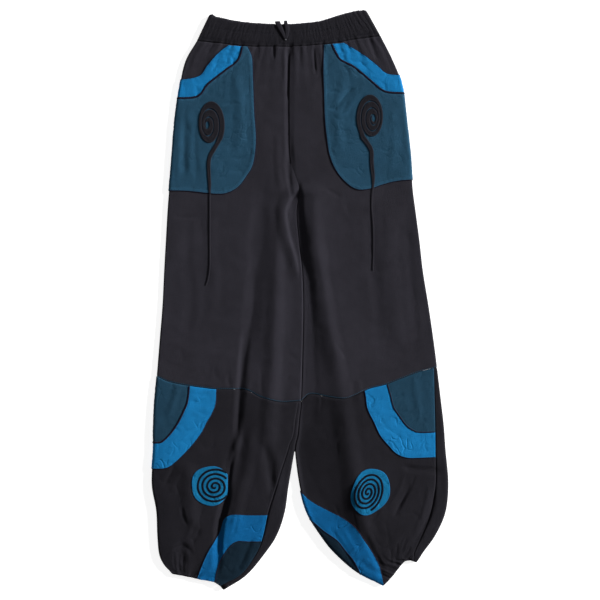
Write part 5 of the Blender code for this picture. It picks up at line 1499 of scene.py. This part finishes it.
class TROUSERS_OT_hems(bpy.types.Operator):
    """Make the curved bands and the corner patches above the hems"""

    bl_idname = "trousers.hems"
    bl_label = "Hem patches"

    def execute(self, context):
        hems = (("left", LEFT_HEM_OUTER, LEFT_HEM_INNER, ((-40.0, -540.0),), SEAM_GAP),
                ("right", RIGHT_HEM_OUTER, RIGHT_HEM_INNER, ((-40.0, -500.0), (-40.0, -378.0)), -SEAM_GAP))
        for side, outer, inner, far, way in hems:
            panel = panel_of(side, "lower")
            patch("look_hem_band_" + side, panel, between(outer, inner), look_of("hem blue"))
            corner = np.concatenate([offset(curve(inner), way), np.array(far)])
            patch("look_hem_corner_" + side, panel, corner, look_of("deep"))
        return {"FINISHED"}


# Edges that are piped or bound, along lines as laid: widths and heights, left and right, and how far they are lifted.
Edging = namedtuple("Edging", "name part left right widths heights lift")
EDGINGS = (
    Edging("mouth_low", "upper", LEFT_MOUTH_LOW, RIGHT_MOUTH_LOW, (3.8, 4.0), (1.5, 1.5), 0.8),
    Edging("mouth_high", "upper", LEFT_MOUTH_HIGH, RIGHT_MOUTH_HIGH, (2.3, 2.3), (1.1, 1.1), 0.25),
    Edging("pocket_edge", "upper", LEFT_POCKET, RIGHT_POCKET, (2.2, 2.2), (1.1, 1.1), 0.2),
    Edging("knee_inner", "lower", LEFT_KNEE_INNER, RIGHT_KNEE_INNER, (3.6, 2.6), (1.4, 1.3), 0.8),
    Edging("knee_outer", "lower", LEFT_KNEE_OUTER, RIGHT_KNEE_OUTER, (2.1, 2.1), (1.1, 1.1), 0.2),
    Edging("hem_outer", "lower", LEFT_HEM_OUTER, RIGHT_HEM_OUTER, (2.0, 2.0), (1.1, 1.1), 0.2),
    Edging("hem_inner", "lower", LEFT_HEM_INNER, RIGHT_HEM_INNER, (1.8, 1.8), (1.1, 1.1), 0.75),
)


class TROUSERS_OT_edging(bpy.types.Operator):
    """Make the dark piping and binding along the edges of the sewn-on pieces"""

    bl_idname = "trousers.edging"
    bl_label = "Piping"

    def execute(self, context):
        for edge in EDGINGS:
            for side, line, width, height in zip(LEGS, (edge.left, edge.right), edge.widths, edge.heights):
                ridge(f"piping_{edge.name}_{side}", panel_of(side, edge.part), curve(line), width, height, edge.lift,
                      look_of("piping"))
        return {"FINISHED"}


# The spirals on the round patches: centre, size across and up, tilt, turns and the angle at which they start.
Spiral = namedtuple("Spiral", "side centre half_x half_y tilt turns start way")
SPIRALS = (
    Spiral("left", (-150.5, -329.5), 33.7, 31.5, 0, 4.0, 20, -1),
    Spiral("right", (119.5, -339.5), 25.5, 36, -24, 4.3, 60, -1),
)
SPIRAL_WIDTH, SPIRAL_HEIGHT = 3.9, 1.0


def spiral_line(spiral):
    """A plain spiral in evenly spaced turns, drawn out to an oval."""
    share = np.linspace(0.03, 1, 260)
    angle = math.radians(spiral.start) + spiral.way * 2 * math.pi * spiral.turns * share
    x, y = spiral.half_x * share * np.cos(angle), spiral.half_y * share * np.sin(angle)
    return tilted(x, y, spiral.tilt, spiral.centre)


class TROUSERS_OT_spirals(bpy.types.Operator):
    """Embroider a spiral on each round patch"""

    bl_idname = "trousers.spirals"
    bl_label = "Embroidered spirals"

    def execute(self, context):
        for spiral, disc in zip(SPIRALS, DISCS):
            ridge("spiral_" + spiral.side, panel_of(spiral.side, "lower"), spiral_line(spiral), SPIRAL_WIDTH,
                  SPIRAL_HEIGHT, SEAM_GAP + 0.85, look_of("spiral thread"),
                  keep=lambda line, edge=disc.crease_x: line[:, 0] < edge - 1.5)
        return {"FINISHED"}


def stitch_tree(look, length, width):
    """Geometry nodes that lay stitches end to end along a line of cloth, turned to lie on it."""
    tree = bpy.data.node_groups.new("stitches", "GeometryNodeTree")
    tree.interface.new_socket("Geometry", in_out="INPUT", socket_type="NodeSocketGeometry")
    for name, value in (("Length", length), ("Gap", 0.0008), ("Width", width)):
        socket = tree.interface.new_socket(name, in_out="INPUT", socket_type="NodeSocketFloat")
        socket.default_value = value
    tree.interface.new_socket("Geometry", in_out="OUTPUT", socket_type="NodeSocketGeometry")
    nodes, links = tree.nodes, tree.links

    def add(kind, settings=None, inputs=None):
        node = nodes.new(kind)
        for name, value in (settings or {}).items():
            setattr(node, name, value)
        for name, value in (inputs or {}).items():
            if isinstance(value, bpy.types.NodeSocket):
                links.new(value, node.inputs[name])
            else:
                node.inputs[name].default_value = value
        return node

    given = add("NodeGroupInput")
    line = add("GeometryNodeMeshToCurve", {}, {"Mesh": given.outputs["Geometry"]})
    pitch = add("ShaderNodeMath", {"operation": "ADD"}, {0: given.outputs["Length"], 1: given.outputs["Gap"]})
    points = add("GeometryNodeResampleCurve", {"mode": "LENGTH"},
                 {"Curve": line.outputs[0], "Length": pitch.outputs[0]})
    tangent = add("GeometryNodeInputTangent")
    out = add("GeometryNodeInputNamedAttribute", {"data_type": "FLOAT_VECTOR"}, {"Name": "out"})
    along = add("FunctionNodeAlignRotationToVector", {"axis": "X"}, {"Vector": tangent.outputs[0]})
    upright = add("FunctionNodeAlignRotationToVector", {"axis": "Z", "pivot_axis": "X"},
                  {"Rotation": along.outputs[0], "Vector": out.outputs[0]})
    spread = add("FunctionNodeRandomValue", {"data_type": "FLOAT"}, {2: -0.09, 3: 0.09, "Seed": 12})
    skew = add("ShaderNodeCombineXYZ", {}, {2: spread.outputs[1]})
    turned = add("FunctionNodeRotateRotation", {"rotation_space": "LOCAL"},
                 {0: upright.outputs[0], 1: skew.outputs[0]})
    ball = add("GeometryNodeMeshUVSphere", {}, {"Segments": 6, "Rings": 4, "Radius": 0.5})
    long, wide = given.outputs["Length"], given.outputs["Width"]
    size = add("ShaderNodeCombineXYZ", {}, {0: long, 1: wide, 2: wide})
    stitch = add("GeometryNodeTransform", {}, {"Geometry": ball.outputs[0], "Scale": size.outputs[0]})
    laid = add("GeometryNodeInstanceOnPoints", {},
               {"Points": points.outputs[0], "Instance": stitch.outputs[0], "Rotation": turned.outputs[0]})
    real = add("GeometryNodeRealizeInstances", {}, {"Geometry": laid.outputs[0]})
    smooth_faces = add("GeometryNodeSetShadeSmooth", {}, {"Geometry": real.outputs[0]})
    done = add("GeometryNodeSetMaterial", {}, {"Geometry": smooth_faces.outputs[0], "Material": look})
    given_out = add("NodeGroupOutput")
    links.new(done.outputs[0], given_out.inputs[0])
    return tree


def stitches(name, lines, look, length=2.4, width=0.55):
    """Stitches along lines of (points, directions out of the cloth), as one plain mesh."""
    points, outs, edges = [], [], []
    for line, out in lines:
        edges += [(len(points) + k, len(points) + k + 1) for k in range(len(line) - 1)]
        points += (np.asarray(line) * MM).tolist()
        outs += list(out)
    mesh = bpy.data.meshes.new(name + ".line")
    mesh.from_pydata(points, edges, [])
    mesh.attributes.new("out", "FLOAT_VECTOR", "POINT").data.foreach_set("vector", np.ravel(outs))
    path = link(name + ".line", mesh)
    path.modifiers.new("stitches", "NODES").node_group = stitch_tree(look, length * MM, width * MM)
    context = bpy.context.evaluated_depsgraph_get()
    plain = bpy.data.meshes.new_from_object(path.evaluated_get(context))
    places = np.empty(len(plain.vertices) * 3)
    plain.vertices.foreach_get("co", places)
    places[2::3] = np.maximum(places[2::3], 0)  # no stitch goes below the surface under the trousers
    plain.vertices.foreach_set("co", places)
    path.modifiers.clear()
    bpy.data.objects.remove(path)
    plain.name = name
    fasten(link(name, plain))


def seam_lines(side, part, line, lift):
    """The stretches of a line as laid that lie on a panel, for stitches."""
    panel = panel_of(side, part)
    return [panel.at(v, a, np.full(len(v), lift)) for v, a in trails(panel, line, 1.0)]


def knee_line(side):
    """Just above the knee seam, right across the front."""
    panel = panel_of(side, "upper")
    a = np.linspace(0.5, panel.leg.length(np.array([KNEE]))[0] - 0.5, 260)
    v = panel.leg.section(np.full(len(a), panel.leg.down(KNEE) - 1.6))
    return panel.at(v, a, np.full(len(a), 0.12))


def band_line(height, lift):
    """A line along the front of the waistband at a share of its height, for stitches."""
    share = np.linspace(0.02, 0.98, 400)
    point = band_points(share, np.ones_like(share), np.full_like(share, height), np.full_like(share, BAND_WALL + lift))
    return point, np.tile([0.0, 0.0, 1.0], (len(point), 1))


class TROUSERS_OT_stitching(bpy.types.Operator):
    """Sew the lines of stitches that show"""

    bl_idname = "trousers.stitching"
    bl_label = "Stitches"

    def execute(self, context):
        dark, petrol = [], [knee_line("left"), knee_line("right")]
        top = SEAM_GAP + PATCH - STITCH_DIP + 0.08
        for side, (edge, low, high, way) in POCKETS.items():
            for line, inset in ((edge, -EDGE_STITCH), (edge, -POCKET_HEM), (low, EDGE_STITCH), (high, -EDGE_STITCH)):
                dark += seam_lines(side, "upper", offset(curve(line), inset * way), top)
        for at in BAND_STITCHES:
            dark.append(band_line(at, 0.1))
        (x, y), reach = TACK  # two crossed arms
        for way in (1, -1):
            arm = ((x - reach, y - way * reach), (x, y), (x + reach, y + way * reach))
            dark += seam_lines("left", "upper", arm, 0.15)
        stitches("stitches_dark", dark, look_of("dark thread"))
        stitches("stitches_petrol", petrol, look_of("teal thread"), length=2.6, width=0.95)
        return {"FINISHED"}


FLOOR_REACH = 60  # metres to each side, so that no edge shows in a low view
CAMERA_RISE = 0.008  # metres that the cloth's front lies above the floor, as the camera sees it


class TROUSERS_OT_stage(bpy.types.Operator):
    """Set up the camera straight above, a pale floor and soft lights"""

    bl_idname = "trousers.stage"
    bl_label = "Stage"

    def execute(self, context):
        settings, scene = context.scene.trouser_stage, context.scene
        camera = bpy.data.cameras.new("camera")
        camera.lens, camera.sensor_width, camera.clip_end = settings.lens, 36, 200
        scene.camera = link("camera", camera)
        scene.camera.location = (0, 0, settings.view_width * settings.lens / camera.sensor_width + CAMERA_RISE)

        mesh = bpy.data.meshes.new("floor")
        corners = [(x * FLOOR_REACH, y * FLOOR_REACH, -0.0003) for x, y in ((-1, -1), (1, -1), (1, 1), (-1, 1))]
        mesh.from_pydata(corners, [], [(0, 1, 2, 3)])
        shader = Shader("lit white board", Roughness=0.8, Specular_IOR_Level=0.2, Emission_Color=(1, 1, 1, 1),
                        Emission_Strength=0.82)
        grain = shader.noise(shader.node("TexCoord", {}, output=3), 400.0, 2.0)
        board = shader.blend(grain, (0.50, 0.50, 0.50, 1), (0.54, 0.54, 0.54, 1))
        mesh.materials.append(shader.finish(board, grain, 0.00005))
        link("floor", mesh)

        sun = bpy.data.lights.new("key", "SUN")
        sun.energy, sun.angle = settings.key, math.radians(10)
        flat = math.cos(settings.key_height)
        shining = Vector((-0.94 * flat, -0.34 * flat, -math.sin(settings.key_height)))
        link("key", sun).rotation_euler = shining.to_track_quat("-Z", "Y").to_euler()
        lamp = bpy.data.lights.new("overhead", "AREA")
        lamp.energy, lamp.shape, lamp.size = settings.overhead, "DISK", 2.2
        overhead = link("overhead", lamp)
        overhead.location = (-0.3, 0.6, 2.9)
        overhead.rotation_euler = (-overhead.location).to_track_quat("-Z", "Y").to_euler()
        scene.world = bpy.data.worlds.new("room")
        scene.world.use_nodes = True
        background = scene.world.node_tree.nodes["Background"].inputs
        background["Color"].default_value, background["Strength"].default_value = (1, 1, 1, 1), settings.sky
        scene.view_settings.view_transform = "Standard"
        return {"FINISHED"}


STEPS = (
    TROUSERS_OT_stage, TROUSERS_OT_drawstring, TROUSERS_OT_panels, TROUSERS_OT_seams, TROUSERS_OT_waistband,
    TROUSERS_OT_pockets, TROUSERS_OT_coils, TROUSERS_OT_knees, TROUSERS_OT_discs, TROUSERS_OT_hems, TROUSERS_OT_edging,
    TROUSERS_OT_spirals, TROUSERS_OT_stitching,
)


class TROUSERS_PT_parts(bpy.types.Panel):
    bl_label = "Trousers"
    bl_space_type = "VIEW_3D"
    bl_region_type = "UI"
    bl_category = "Trousers"

    def draw(self, context):
        for group in (context.scene.trouser_cloth, context.scene.trouser_stage):
            for name in group.__annotations__:
                self.layout.prop(group, name)
        for step in STEPS:
            self.layout.operator(step.bl_idname)


CLASSES = (ClothSettings, StageSettings, *STEPS, TROUSERS_PT_parts)


def register():
    for made in CLASSES:
        bpy.utils.register_class(made)
    bpy.types.Scene.trouser_cloth = PointerProperty(type=ClothSettings)
    bpy.types.Scene.trouser_stage = PointerProperty(type=StageSettings)


def unregister():
    del bpy.types.Scene.trouser_cloth, bpy.types.Scene.trouser_stage
    for made in reversed(CLASSES):
        bpy.utils.unregister_class(made)


def main():
    register()
    for step in STEPS:
        getattr(bpy.ops.trousers, step.bl_idname.split(".")[1])()


if __name__ == "__main__":
    main()
